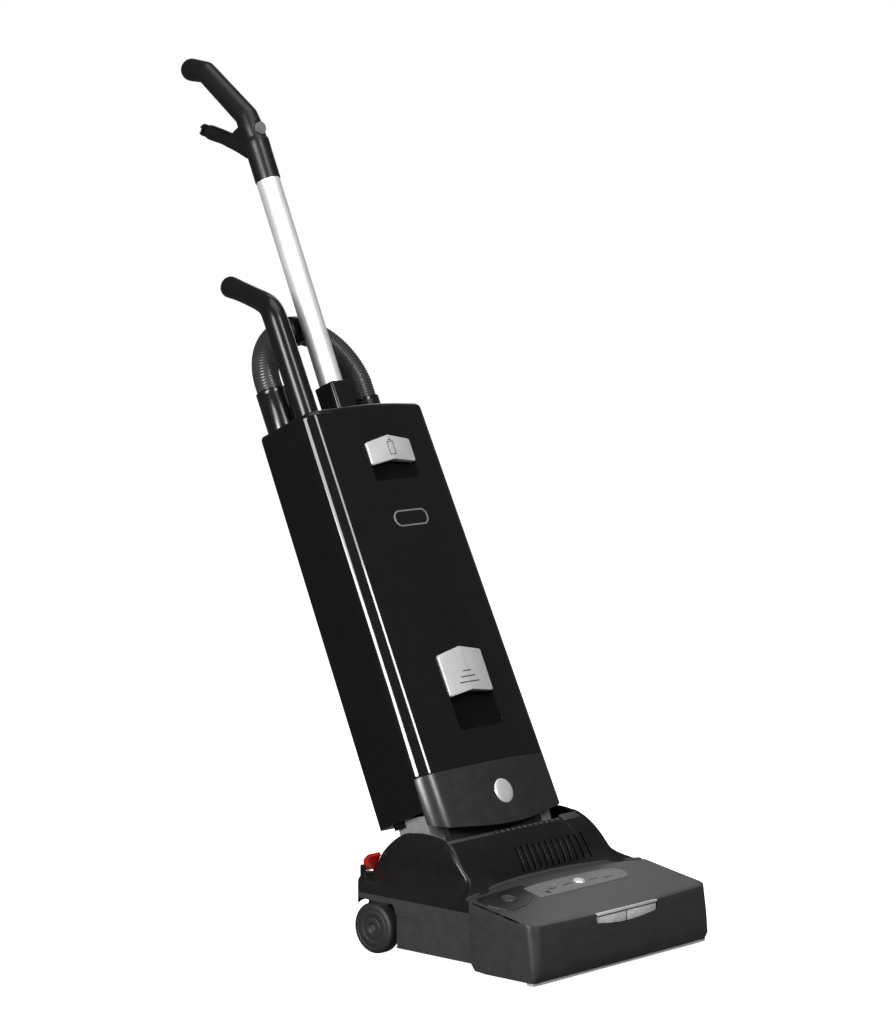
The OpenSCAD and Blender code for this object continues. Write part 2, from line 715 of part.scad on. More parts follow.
// The two end cuffs and the clip that ties the hose to the handle tube
module hose_fittings() color([0.05, 0.05, 0.055]) upright_at() {
    for (s = [-1, 1]) translate([s * hose_x, hose_v, s < 0 ? 679 : 662]) difference() {
        cylinder(h = s < 0 ? 62 : 56, r = cuff_r);
        translate([0, 0, -1]) cylinder(h = 70, r = hose_r + run);
    }
    translate([0, hose_v, arch_w]) rotate([-arch_tilt, 0, 0]) translate([-11, 0, hose_x])
        rotate([0, 90, 0]) difference() {
            cylinder(h = 22, r = hose_r + 2.4);
            translate([0, 0, -1]) cylinder(h = 24, r = hose_r + 1.4);
        }
}

module wand_guide() color([0.06, 0.06, 0.065]) upright_at() translate([wand_x, wand_v, 0])
    difference() {
        translate([0, 0, 440]) cylinder(h = body_top + 4 - 440, r = wand_r + 1.6);
        translate([0, 0, 443]) cylinder(h = body_top, r = wand_r + gap);
    }

module wand() color([0.05, 0.05, 0.055]) upright_at() translate([wand_x, wand_v, 0]) {
    difference() {
        translate([0, 0, 446]) cylinder(h = 388, r = wand_r);
        translate([0, 0, 445]) cylinder(h = 384, r = wand_r - 2);
    }
    hull() {
        translate([0, 0, 834]) sphere(r = wand_r, $fn = 32);
        translate([8, 34, 878]) sphere(r = 14.5, $fn = 32);
    }
    hull() {
        translate([8, 34, 878]) sphere(r = 14.5, $fn = 32);
        translate([8, 68, 901]) sphere(r = 15.5, $fn = 32);
    }
}

// ---- upright: handle ----------------------------------------------------

module tube_socket() color([0.05, 0.05, 0.055]) upright_at() difference() {
    translate([-19, -14, body_top - 8]) cube([38, 40, 78]);
    translate([0, tube_v, tube_w]) rotate([tube_tilt, 0, 0]) translate([0, 0, -66])
        cylinder(h = 90, r = tube_r + run);
}

module handle_tube() color([0.8, 0.81, 0.83]) handle_at() difference() {
    translate([0, 0, -65]) cylinder(h = 405, r = tube_r);
    translate([0, 0, -66]) cylinder(h = 410, r = tube_r - 1.6);
}

// Points of the grip in its own side view: y back, z up from the tube's mark
module ball(y, z, r) translate([0, y, z]) sphere(r = r, $fn = 32);

module handle_grip() color([0.05, 0.05, 0.055]) handle_at() difference() {
    union() {
        translate([0, 0, 308]) cylinder(h = 62, r = tube_r + 3);
        hull() {
            ball(0, 366, 17.5);
            ball(3, 410, 14.5);
        }
        hull() {
            ball(3, 410, 14.5);
            ball(54, 502, 13.5);
        }
        hull() {
            ball(54, 502, 13.5);
            ball(79, 517, 14.5);
        }
        hull() {
            ball(4, 350, 13);
            ball(56, 400, 8.5);
        }
        hull() {
            ball(56, 400, 8.5);
            ball(79, 418, 9);
        }
        hull() {
            ball(6, 352, 10);
            ball(6, 392, 10);
            ball(30, 392, 7);
        }
    }
    translate([0, 0, 290]) cylinder(h = 51, r = tube_r + run);
    // Seat of the oval button
    translate([0, -15, 384]) rotate([102, 0, 0]) translate([0, 0, -4]) cylinder(h = 16, r = 9.4);
}

// Oval push button that frees the handle from its tube
module grip_button() color([0.78, 0.79, 0.8]) handle_at()
    translate([0, -15, 384]) rotate([102, 0, 0]) {
        translate([0, 0, -1.5]) cylinder(h = 5, r = 9);
    }

// Hook that turns on the end of the horn to let the cable drop off
module cable_hook() color([0.06, 0.06, 0.065]) handle_at()
    translate([0, 79, 418]) rotate([-52, 0, 0]) difference() {
        translate([0, 0, 9.4]) cylinder(h = 7, r = 9);
        translate([-20, -3, 13.4]) cube([40, 6, 10]);
    }

// On the back of the body: lower cable hook, and the peg that a cleaning tool pushes onto
module rear_fittings() color([0.06, 0.06, 0.065]) upright_at() {
    translate([-14, body_rear - 2.4, 441]) cube([28, 16, 36]);
    translate([-14, body_rear + 13.6, 425]) cube([28, 5, 52]);
    translate([60, body_rear, 322]) rotate([-90, 0, 0]) cylinder(h = 48, r = 15.9);
    translate([60, body_rear, 322]) rotate([-90, 0, 0]) cylinder(h = 3, r = 21);
}

// ---- upright: door and latches -------------------------------------------

module latch_pocket(t, x, w0, w1, d) {
    translate([-x - t, face_v(w1) - 20 * (2 - t) / 2, w0 - t])
        cube([2 * x + 2 * t, 20 * (2 - t) / 2 + d + t, w1 - w0 + 2 * t]);
}

module bag_door() color([0.045, 0.045, 0.05]) upright_at() difference() {
    intersection() {
        body_solid(0, seam_w + 0.6, body_top + 2);
        union() {
            difference() {
                translate([-200, -100, 0]) cube([400, 99.7 + split_v, 800]);
                body_solid(body_wall, seam_w - 10, body_top - 0.5);
            }
            latch_pocket(2, 47, 565, 630, 14);
            latch_pocket(2, 45.5, 205, 315, 14);
        }
    }
    latch_pocket(0, 47, 565, 630, 14);
    latch_pocket(0, 45.5, 205, 315, 14);
}

module latch_plate(hw, w0, w1) intersection() {
    translate([0, face_v(w0), w0 - 5]) linear_extrude(w1 - w0 + 10)
        polygon([[-hw, 8], [-hw, -0.5], [0, -3.6], [hw, -0.5], [hw, 8]]);
    front(-90, 60) polygon([[-hw, w0], [0, w0 + 3.5], [hw, w0], [hw, w1 - 8], [0, w1], [-hw, w1 - 8]]);
}

module door_latch() color([0.78, 0.79, 0.8]) upright_at() latch_plate(46.6, 588, 629.5);

module filter_latch() color([0.78, 0.79, 0.8]) upright_at() latch_plate(45.1, 246, 314.5);

base_housing();
sole_plate();
wear_strip();
skirt_band();
dome_cover();
front_hood();
hood_trim();
control_panel();
indicator_lights();
release_surround();
headlight_frame();
headlight_lens();
circuit_boards();
brush_motor();
suction_duct();
drive_belt();
brush_bearings();
pivot_bushes();
axles();
pins_and_screws();
power_switch();
brush_core();
brush_bristles();
brush_pulley();
motor_rotor();
motor_pulley();
wheel_left();
wheel_right();
front_roller_left();
front_roller_right();
power_pedal();
recline_pedal();
panel_button();
brush_release_button();
neck_drum();
neck_yoke();
neck_duct();
rear_shell();
lower_band();
band_cap();
motor_deck();
suction_motor();
suction_rotor();
motor_mounts();
filter_bag();
filters();
hose_ducts();
hose();
hose_fittings();
wand_guide();
wand();
tube_socket();
handle_tube();
handle_grip();
grip_button();
cable_hook();
rear_fittings();
bag_door();
door_latch();
filter_latch();
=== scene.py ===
"""Looks of an upright vacuum cleaner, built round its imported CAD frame.

Lengths inside the functions are millimetres, in three frames that follow the CAD. head(x, y, z)
is level, with y counted from the head's datum line and z from the floor. body(x, v, w) leans with
the upright, v running back from the tilt axis and w up along the body. handle(x, a, b) follows the
handle tube, which leans one degree further.
"""

import json
import random
from math import asin, atan2, copysign, cos, degrees, hypot, pi, radians, sin, sqrt, tan

import bmesh
import bpy
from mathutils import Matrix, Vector


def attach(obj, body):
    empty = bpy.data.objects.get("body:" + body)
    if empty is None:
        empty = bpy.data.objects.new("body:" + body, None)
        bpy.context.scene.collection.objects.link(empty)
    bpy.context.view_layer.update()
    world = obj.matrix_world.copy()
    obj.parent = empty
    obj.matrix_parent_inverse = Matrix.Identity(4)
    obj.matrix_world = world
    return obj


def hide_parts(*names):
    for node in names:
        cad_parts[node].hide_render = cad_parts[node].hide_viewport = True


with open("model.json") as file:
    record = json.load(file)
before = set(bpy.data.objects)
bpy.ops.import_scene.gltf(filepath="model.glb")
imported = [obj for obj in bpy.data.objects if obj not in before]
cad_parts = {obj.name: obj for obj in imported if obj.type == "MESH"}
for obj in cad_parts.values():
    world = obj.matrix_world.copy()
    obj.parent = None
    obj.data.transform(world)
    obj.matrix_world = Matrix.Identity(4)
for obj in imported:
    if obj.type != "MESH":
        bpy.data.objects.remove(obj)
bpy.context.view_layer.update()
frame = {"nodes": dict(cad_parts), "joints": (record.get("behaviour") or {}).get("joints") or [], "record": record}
NODES = frame["nodes"]
JOINTS = {j["name"]: j for j in frame["joints"]}

# ---- frames -----------------------------------------------------------------

MM = 0.001
AXIS_Y, AXIS_Z = 25, 86
AXIS = Vector(JOINTS["tilt"]["pos_m"])
ACROSS = Vector((1, 0, 0))
UP = Vector(JOINTS["wand_lift"]["axis"])
BACK = Vector((0, UP.z, -UP.y))
TUBE_V, TUBE_W, TUBE_TURN = 4.7, 736, radians(1)


def head(x, y, z):
    return AXIS + Vector((x, y - AXIS_Y, z - AXIS_Z)) * MM


def body(x, v, w):
    return AXIS + (ACROSS * x + BACK * v + UP * w) * MM


def handle(x, a, b):
    """Handle frame: a runs back from the tube's middle and b up along it."""
    c, s = cos(TUBE_TURN), sin(TUBE_TURN)
    return body(x, TUBE_V + a * c - b * s, TUBE_W + a * s + b * c)


# The handle frame's own directions, each 1 m long
TUBE_BACK = handle(0, 1000, 0) - handle(0, 0, 0)
TUBE_UP = handle(0, 0, 1000) - handle(0, 0, 0)


def lerp(a, b, t):
    return a + (b - a) * t


def step(a, b, t):
    """Smooth 0 to 1 as t goes from a to b."""
    t = min(1, max(0, (t - a) / (b - a)))
    return t * t * (3 - 2 * t)


def along(pairs, t):
    """The value at t on straight lines between a few (t, value) pairs."""
    if t <= pairs[0][0]:
        return pairs[0][1]
    for (t0, a), (t1, b) in zip(pairs, pairs[1:]):
        if t <= t1:
            return lerp(a, b, (t - t0) / (t1 - t0))
    return pairs[-1][1]


def add_object(name, data):
    made = bpy.data.objects.new(name, data)
    bpy.context.scene.collection.objects.link(made)
    return made


# ---- camera -----------------------------------------------------------------

CAMERA_AT = (-3.5516, -3.3332, 1.0927)
CAMERA_TURN, CAMERA_DOWN = -47.70, 6.03
CAMERA_LENS = 123.3

camera = add_object("camera", bpy.data.cameras.new("camera"))
camera.location = CAMERA_AT
camera.rotation_euler = (radians(90 - CAMERA_DOWN), 0, radians(CAMERA_TURN))
camera.data.lens = CAMERA_LENS
camera.data.sensor_width = 36
camera.data.clip_end = 60
bpy.context.scene.camera = camera

# ---- materials --------------------------------------------------------------

MATERIALS = {}


def add_noise(tree, place, scale, detail):
    made = tree.nodes.new("ShaderNodeTexNoise")
    made.inputs["Scale"].default_value = scale
    made.inputs["Detail"].default_value = detail
    tree.links.new(place.outputs["Object"], made.inputs["Vector"])
    return made


def moulded(name, colour, rough, spread=0.12, mottle=60, grain=900, bump=0.05, **fixed):
    """A moulded or metal finish: mottled colour, uneven roughness and a fine surface grain."""
    made = bpy.data.materials.new(name)
    made.use_nodes = True
    nodes, links = made.node_tree.nodes, made.node_tree.links
    shader = nodes["Principled BSDF"]
    place = nodes.new("ShaderNodeTexCoord")
    cloud = add_noise(made.node_tree, place, mottle, 5)
    shades = nodes.new("ShaderNodeValToRGB")
    shades.color_ramp.elements[0].position = 0.3
    shades.color_ramp.elements[1].position = 0.7
    shades.color_ramp.elements[0].color = [c * (1 - spread) for c in colour] + [1]
    shades.color_ramp.elements[1].color = [min(1, c * (1 + spread)) for c in colour] + [1]
    links.new(cloud.outputs["Fac"], shades.inputs["Fac"])
    links.new(shades.outputs["Color"], shader.inputs["Base Color"])
    uneven = nodes.new("ShaderNodeMapRange")
    uneven.inputs["To Min"].default_value = rough * 0.85
    uneven.inputs["To Max"].default_value = min(1, rough * 1.15)
    links.new(cloud.outputs["Fac"], uneven.inputs["Value"])
    links.new(uneven.outputs["Result"], shader.inputs["Roughness"])
    fine = add_noise(made.node_tree, place, grain, 3)
    relief = nodes.new("ShaderNodeBump")
    relief.inputs["Strength"].default_value = bump
    relief.inputs["Distance"].default_value = 0.0004
    links.new(fine.outputs["Fac"], relief.inputs["Height"])
    links.new(relief.outputs["Normal"], shader.inputs["Normal"])
    for socket, value in fixed.items():
        shader.inputs[socket.replace("_", " ")].default_value = value
    MATERIALS[name] = made
    return made


def brushed(name, colour, rough, **fixed):
    """Metal or metallic paint with fine lines drawn along the leaning tube."""
    made = moulded(name, colour, rough, spread=0.05, mottle=25, **fixed)
    nodes, links = made.node_tree.nodes, made.node_tree.links
    fine = [n for n in nodes if n.bl_idname == "ShaderNodeTexNoise"][1]
    place = [n for n in nodes if n.bl_idname == "ShaderNodeTexCoord"][0]
    stretch = nodes.new("ShaderNodeMapping")
    stretch.inputs["Rotation"].default_value = (atan2(UP.y, UP.z), 0, 0)
    stretch.inputs["Scale"].default_value = (1, 1, 0.02)
    links.new(place.outputs["Object"], stretch.inputs["Vector"])
    links.new(stretch.outputs["Vector"], fine.inputs["Vector"])
    return made


moulded("gloss_black", (0.006, 0.006, 0.0065), 0.07, grain=260, bump=0.012)
# Painted shade: gloss_black made darker and half as reflective for the rear casing, so that its side panel looks
# shaded
moulded("shell_black_painted_shade", (0.005, 0.005, 0.0055), 0.07, grain=260, bump=0.012,
        Specular_IOR_Level=0.3)
moulded("satin_black", (0.006, 0.006, 0.0063), 0.22, bump=0.04)
moulded("dome_black", (0.006, 0.006, 0.0063), 0.26, bump=0.04)
moulded("grip_black", (0.006, 0.006, 0.0062), 0.34, grain=1400, bump=0.16)
moulded("hood_grey", (0.030, 0.030, 0.031), 0.36, grain=1500, bump=0.10)
moulded("base_grey", (0.030, 0.030, 0.031), 0.5, grain=1300, bump=0.14)
moulded("band_grey", (0.019, 0.019, 0.0195), 0.3, grain=1300, bump=0.08)
# void_black serves as painted shade: a dull near-black for the sheets that darken the finger recesses
moulded("void_black", (0.002, 0.002, 0.002), 0.9, Specular_IOR_Level=0.1)
moulded("wheel_grey", (0.014, 0.014, 0.0142), 0.55, grain=1300, bump=0.12)
moulded("trim_grey", (0.035, 0.035, 0.036), 0.4, grain=1500, bump=0.08)
moulded("neck_grey", (0.20, 0.205, 0.21), 0.42, bump=0.08)
moulded("inner_black", (0.012, 0.012, 0.012), 0.55, grain=1200, bump=0.12)
moulded("hose_black", (0.030, 0.030, 0.031), 0.30, grain=1600, bump=0.10)
moulded("rubber", (0.018, 0.018, 0.018), 0.75, grain=1800, bump=0.25)
moulded("panel_grey", (0.12, 0.12, 0.123), 0.42, grain=2200, bump=0.05)
moulded("mark_dark", (0.03, 0.03, 0.032), 0.5)
moulded("mark_grey", (0.15, 0.15, 0.155), 0.35)
moulded("strip_grey", (0.42, 0.43, 0.44), 0.4, bump=0.08)
moulded("pedal_red", (0.34, 0.007, 0.006), 0.3, spread=0.08, Coat_Weight=0.3)
moulded("pedal_grey", (0.035, 0.035, 0.036), 0.4, bump=0.1)
moulded("board_green", (0.015, 0.12, 0.04), 0.4, spread=0.25, mottle=300)
moulded("bristle", (0.012, 0.012, 0.012), 0.6, mottle=400)
moulded("bearing_plastic", (0.5, 0.48, 0.41), 0.4, bump=0.08)
moulded("bag_paper", (0.60, 0.54, 0.42), 0.9, spread=0.16, mottle=140, grain=700, bump=0.5)
moulded("filter_white", (0.72, 0.73, 0.75), 0.9, spread=0.1, grain=600, bump=0.6)
moulded("lamp_bright", (0.40, 0.405, 0.41), 0.25, spread=0.1, Coat_Weight=0.5)
moulded("lens", (0.50, 0.51, 0.52), 0.2, spread=0.15, mottle=200, Coat_Weight=0.6)
brushed("silver", (0.72, 0.725, 0.73), 0.34, grain=1600, bump=0.06, Metallic=0.55)
brushed("aluminium", (0.80, 0.805, 0.81), 0.36, grain=900, bump=0.10, Metallic=0.5)
brushed("steel", (0.56, 0.57, 0.58), 0.28, grain=900, bump=0.12, Metallic=1.0)
brushed("motor_steel", (0.32, 0.32, 0.33), 0.4, bump=0.15, Metallic=1.0)
brushed("fan_alloy", (0.6, 0.6, 0.62), 0.35, bump=0.1, Metallic=1.0)

# ---- mesh tools -------------------------------------------------------------


def new_object(name, points, faces):
    mesh = bpy.data.meshes.new(name)
    mesh.from_pydata([tuple(p) for p in points], [], faces)
    mesh.validate()
    return add_object(name, mesh)


def outward(obj):
    work = bmesh.new()
    work.from_mesh(obj.data)
    bmesh.ops.recalc_face_normals(work, faces=work.faces)
    work.to_mesh(obj.data)
    work.free()
    return obj


def new_solid(name, points, faces):
    """A closed mesh whose faces all point outward."""
    return outward(new_object(name, points, faces))


def loft(rings, closed=True, caps=True):
    """Points and faces of a skin through rings of equally many points."""
    n = len(rings[0])
    points = [p for ring in rings for p in ring]
    faces = []
    for i in range(len(rings) - 1):
        for k in range(n if closed else n - 1):
            a, b = i * n + k, i * n + (k + 1) % n
            faces.append((a, b, b + n, a + n))
    if caps:
        faces.append(tuple(reversed(range(n))))
        faces.append(tuple(range(len(points) - n, len(points))))
    return points, faces


def merge(skins):
    """The points and faces of several skins as one."""
    points, faces = [], []
    for more_points, more_faces in skins:
        at = len(points)
        points += more_points
        faces += [tuple(at + k for k in face) for face in more_faces]
    return points, faces


def ring_loft(rings):
    """A skin through rings that closes on its first ring, as a tube's wall or a bezel does."""
    points, faces = loft(rings, caps=False)
    n = len(rings[0])
    last = len(points) - n
    faces += [(last + k, last + (k + 1) % n, (k + 1) % n, k) for k in range(n)]
    return points, faces


def settle(obj):
    """Applies the object's modifiers to its mesh."""
    bpy.context.view_layer.update()
    graph = bpy.context.evaluated_depsgraph_get()
    mesh = bpy.data.meshes.new_from_object(obj.evaluated_get(graph))
    obj.modifiers.clear()
    obj.data = mesh
    return obj


def carve(obj, tools, how="DIFFERENCE"):
    """Cuts the tools out of the object, or joins them to it, and removes them."""
    for tool in tools:
        cut = obj.modifiers.new("cut", "BOOLEAN")
        cut.operation = how
        cut.solver = "EXACT"
        cut.object = tool
    settle(obj)
    for tool in tools:
        bpy.data.objects.remove(tool)
    return obj


def bevel(obj, width, segments, angle):
    """Rounds every edge sharper than the angle, as a modifier."""
    edges = obj.modifiers.new("edges", "BEVEL")
    edges.width = width * MM
    edges.segments = segments
    edges.limit_method = "ANGLE"
    edges.angle_limit = radians(angle)


def soften(obj, width, segments=2, angle=38):
    bevel(obj, width, segments, angle)
    return settle(obj)


def subdivide(obj):
    smooth = obj.modifiers.new("smooth", "SUBSURF")
    smooth.levels = smooth.render_levels = 1
    return settle(obj)


def present(obj, rides_on, material, stands_for=(), sharp=40):
    """Gives a finished mesh its material, its shading and its CAD body."""
    obj.data.materials.clear()
    obj.data.materials.append(MATERIALS[material])
    for face in obj.data.polygons:
        face.use_smooth = True
    obj.data.set_sharp_from_angle(angle=radians(sharp))
    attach(obj, rides_on)
    if stands_for:
        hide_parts(*stands_for)


FAR = 200  # how far a cutter reaches to pass the whole body


def circle(x, y, radius, sides=48):
    """A round outline as a list of flat points."""
    turns = [2 * pi * k / sides for k in range(sides)]
    return [(x + radius * cos(t), y + radius * sin(t)) for t in turns]


def block(place, x0, x1, y0, y1, z0, z1):
    """A plain cutter box, given in the frame that place stands for."""
    corners = [(x0, y0), (x1, y0), (x1, y1), (x0, y1)]
    return new_solid("tool", *loft([[place(x, y, z) for x, y in corners] for z in (z0, z1)]))


def bar(place, x0, x1, radius, y, z, sides=96):
    """A round cutter along x."""
    outline = circle(y, z, radius, sides)
    return new_solid("tool", *loft([[place(x, *p) for p in outline] for x in (x0, x1)]))


def prism(place, outline, depths, axis):
    """An outline in two axes, swept between two depths along the third ('x', 'y' or 'z')."""
    put = {"x": lambda p, d: place(d, *p), "y": lambda p, d: place(p[0], d, p[1]),
           "z": lambda p, d: place(*p, d)}[axis]
    return new_solid("tool", *loft([[put(p, d) for p in outline] for d in depths]))


def rounded(outline, radius, steps=4):
    """The outline with each corner rounded off; radius is one size or one for each corner."""
    made = []
    for i, p in enumerate(outline):
        a, b = Vector(outline[i - 1]), Vector(outline[(i + 1) % len(outline)])
        r = radius[i] if isinstance(radius, (list, tuple)) else radius
        p = Vector(p)
        into, out = (a - p).normalized(), (b - p).normalized()
        half = into.angle(out) / 2
        reach = min(r / tan(half), (a - p).length / 2.1, (b - p).length / 2.1)
        for k in range(steps + 1):
            t = k / steps
            made.append(tuple(p + into * reach * (1 - t) ** 2 + out * reach * t ** 2))
    return made


def revolve(name, centre, axis, profile, sides=72):
    """Turns a closed profile of (radius, height) round an axis through centre."""
    up = Vector(axis).normalized()
    one = up.orthogonal().normalized()
    two = up.cross(one)
    rings = []
    for r, h in profile:
        ring = []
        for k in range(sides):
            t = 2 * pi * k / sides
            ring.append(centre + (one * cos(t) * r + two * sin(t) * r + up * h) * MM)
        rings.append(ring)
    solid_core = profile[0][0] < 0.01
    skin = loft(rings, caps=False) if solid_core else ring_loft(rings)
    return weld(new_object(name, *skin))


def weld(obj, distance=0.01):
    """Merges points that lie together and turns every face outward."""
    join = obj.modifiers.new("weld", "WELD")
    join.merge_threshold = distance * MM
    settle(obj)
    return outward(obj)


def sweep(stations, sides=40):
    """A round skin through stations of (centre, radius, first normal, second normal)."""
    rings = []
    for centre, r, one, two in stations:
        turns = [2 * pi * k / sides for k in range(sides)]
        rings.append([centre + (one * cos(t) + two * sin(t)) * r * MM for t in turns])
    return loft(rings)


# ---- upright: casings -------------------------------------------------------

# Outline: half width at two heights, front face with its bow, corners, back
HALF_LOW, HALF_HIGH, LOW_W, TOP_W = 132, 122.5, 107, 673
FRONT_V, FACE_LEAN, CROWN = -67, radians(0.75), 485
BOW_START, BOW_END, CORNER_BACK = 12, 66, 41
REAR_V, CORNER, REAR_CORNER = 56, 30, 9
# Walls, the round hollows over the neck drum, and the seams between the casings
WALL, BELLY, BAND_BELLY = 2.5, 103, 91.5
SPLIT_V, SEAM_W = -34.5, 149
LID_W, LID_ROUND = 680, 8
SHELL_W, BAND_W = 103, 58
CAP_W = 105
# The hose's two legs and the holes they enter
HOSE_X, HOSE_V, DUCT_HOLE, DUCT_W = 89.5, 36, 23.9, 560


def half_width(w):
    return lerp(HALF_LOW, HALF_HIGH, (w - LOW_W) / (TOP_W - LOW_W))


def face_v(w):
    """Where the middle of the front face lies at a height."""
    return FRONT_V + (w - 200) * tan(FACE_LEAN)


def half_outline(inset, w, side):
    """One side of the body's outline; it starts off the middle, so that two halves never cross."""
    hw, front, made = half_width(w), face_v(w), []
    for k in range(8):
        x = lerp(BOW_START, BOW_END, k / 7)
        made.append((side * (x - HALF_LOW + hw), front + inset + x * x / CROWN / 2))
    for k in range(15):
        a = radians(6 + 6 * k)
        made.append((side * (hw - CORNER + (CORNER - inset) * sin(a)),
                     front + CORNER_BACK - (CORNER - inset) * cos(a)))
    for k in range(7):
        a = radians(15 * k)
        made.append((side * (hw - REAR_CORNER + (REAR_CORNER - inset) * cos(a)),
                     REAR_V - REAR_CORNER + (REAR_CORNER - inset) * sin(a)))
    return made


def casing(inset, w0, w1, crown=0):
    """A closed solid of the body's tapered outline between two heights, rounded at the top."""
    levels = [(w0, 0), (w0 + 4, 0), (w1 - crown - 4, 0), (w1 - crown, 0)]
    for k in range(1, 6 if crown else 1):
        a = radians(15 * k)
        levels.append((w1 - crown + crown * sin(a), crown * (1 - cos(a))))
    rings = []
    for w, further in levels:
        ring = half_outline(inset + further, w, 1)
        ring += list(reversed(half_outline(inset + further, w, -1)))
        rings.append([body(x, v, w) for x, v in ring])
    return new_solid("tool", *loft(rings))


def slab(v0, v1):
    """A cutter through the whole body between two depths."""
    return block(body, -FAR, FAR, v0, v1, 0, 800)


def neck_bore(radius, sides=96):
    """A cutter through the whole body round the tilt axis."""
    return bar(body, -FAR, FAR, radius, 0, 0, sides)


# Finger recesses and latches: half width, lower and upper edge
UPPER_RECESS, UPPER_LATCH = (44.4, 565, 630), (43.6, 588, 629.5)
LOWER_RECESS, LOWER_LATCH = (44.2, 198, 315), (43.4, 246, 314.5)
RECESS_DEEP, LATCH_X = 14, 2.2


def recess(size, grow):
    """Finger recess whose upper edge follows the latch."""
    half, w0, w1 = size
    v1 = face_v(w1) + RECESS_DEEP + grow
    low, high = w0 - grow, w1 + grow
    half += grow
    outline = rounded([(LATCH_X - half, low), (LATCH_X + half, low), (LATCH_X + half, high - 7.5),
                       (LATCH_X, high + 0.5), (LATCH_X - half, high - 7.5)],
                      [5 + grow, 5 + grow, 4, 14, 4])
    return prism(body, outline, (-90, v1), "y")


def make_recess_shade():
    """Painted shade: dull near-black sheets on the floor and three walls of the finger recesses, standing for the
    shade inside them.
    """
    for name, (half, w0, w1) in (("upper", UPPER_RECESS), ("lower", LOWER_RECESS)):
        back = face_v(w1) + RECESS_DEEP
        left, right = LATCH_X - half, LATCH_X + half
        sides = [block(body, left + 1, right - 0.4, back - 0.6, back + 0.3, w0 + 1, w1 - 10),
                 block(body, left - 0.2, left + 0.4, back - 12, back, w0 + 5, w1 - 12),
                 block(body, left + 5, right - 5, back - 12, back, w0 - 0.2, w0 + 0.4),
                 block(body, right - 0.4, right + 0.2, back - 12, back, w0 + 5, w1 - 12)]
        shade_sheets = carve(sides[0], sides[1:], "UNION")
        shade_sheets.name = f"{name}_recess_painted_shade"
        present(shade_sheets, "door", "void_black")


def make_door():
    """Thin hollow door with a rounded top and two walled finger recesses."""
    hollow = casing(WALL, SEAM_W - 10, LID_W - 5.5)
    carve(hollow, [recess(UPPER_RECESS, 2), recess(LOWER_RECESS, 2)])
    door = casing(0, SEAM_W + 0.6, LID_W, LID_ROUND)
    door.name = "bag_door_shell"
    carve(door, [hollow, slab(SPLIT_V - 0.3, FAR), recess(UPPER_RECESS, 0),
                 recess(LOWER_RECESS, 0)])
    soften(door, 1.1, 3)
    present(door, "door", "gloss_black", ["bag_door"])


def make_rear_shell():
    """Open-fronted casing with holes for the neck, the hose's ducts and the back fittings."""
    shell = casing(0, SHELL_W, LID_W, LID_ROUND)
    shell.name = "rear_casing"
    hollow = carve(casing(WALL, SHELL_W + WALL, LID_W + 10), [neck_bore(BELLY + WALL)])
    holes = [hollow, neck_bore(BELLY, 144), slab(-100, SPLIT_V),
             block(body, -30.2, 30.2, -20.2, 20.2, 90, 150),
             block(body, -15, 15, REAR_V - 10, REAR_V + 10, 440, 480)]
    ball = [(DUCT_HOLE * sin(radians(9 * k)), -DUCT_HOLE * cos(radians(9 * k)))
            for k in range(11)]
    for side in (-1, 1):
        holes.append(revolve("tool", body(side * HOSE_X, HOSE_V, DUCT_W), UP,
                             [(0, ball[0][1])] + ball[1:] + [(DUCT_HOLE, 160), (0, 160)], 48))
    carve(shell, holes)
    stops = casing(WALL - 0.5, 160, 650)
    carve(stops, [casing(WALL + 4, 155, 655), slab(-100, SPLIT_V), slab(SPLIT_V + 8, FAR)])
    tabs = [block(body, side * 124, side * 129, 10, 28, 95, 105) for side in (-1, 1)]
    carve(shell, [stops] + tabs, "UNION")
    soften(shell, 1.0, 3)
    # The casing's finish is the gloss black darkened as painted shade for its side panel
    present(shell, "upright", "shell_black_painted_shade", ["rear_shell"])


def make_lower_band():
    band = casing(0, BAND_W, SEAM_W)
    band.name = "band_cover"
    hollow = carve(casing(WALL, BAND_W - 8, SEAM_W + 5), [neck_bore(BAND_BELLY + WALL)])
    carve(band, [hollow, neck_bore(BAND_BELLY, 144), slab(SPLIT_V - 0.4, FAR),
                 prism(body, circle(0, CAP_W, 17), (-80, -40), "y")])
    soften(band, 1.1, 3)
    present(band, "upright", "band_grey", ["lower_band"])


def make_latch(name, rides_on, half, w0, w1):
    """Chevron plate with a crease down its middle and two rounded lower corners."""
    rise, shoulder, face = 5.5, 8, face_v(w0)
    outline = rounded([(-half, w0), (0, w0 + rise), (half, w0), (half, w1 - shoulder), (0, w1),
                       (-half, w1 - shoulder)], [4, 30, 4, 4, 14, 4], 6)
    n = len(outline)

    def crease_end(upper):
        """Index of the point nearest the middle on the upper or the lower edge."""
        return min(range(n), key=lambda k: abs(outline[k][0])
                   + 99 * ((outline[k][1] > w0 + 9) != upper))

    low, high = crease_end(False), crease_end(True)
    front = [body(LATCH_X + x, latch_face(face, half, x), w) for x, w in outline]
    rear = [body(LATCH_X + x, face + 8, w) for x, w in outline]
    right = [k % n for k in range(low, (high if high > low else high + n) + 1)]
    left = [k % n for k in range(high, (low if low > high else low + n) + 1)]
    faces = [tuple(right), tuple(left), tuple(reversed(range(n, 2 * n)))]
    faces += [(k, n + k, n + (k + 1) % n, (k + 1) % n) for k in range(n)]
    plate = new_solid(name, front + rear, faces)
    soften(plate, 0.9, 3, 30)
    present(plate, rides_on, "silver", [rides_on], sharp=24)


def latch_face(face, half, x):
    """Depth of a latch's front, which stands proudest along its crease."""
    return face - 0.5 - 3.1 * (1 - abs(x) / half)


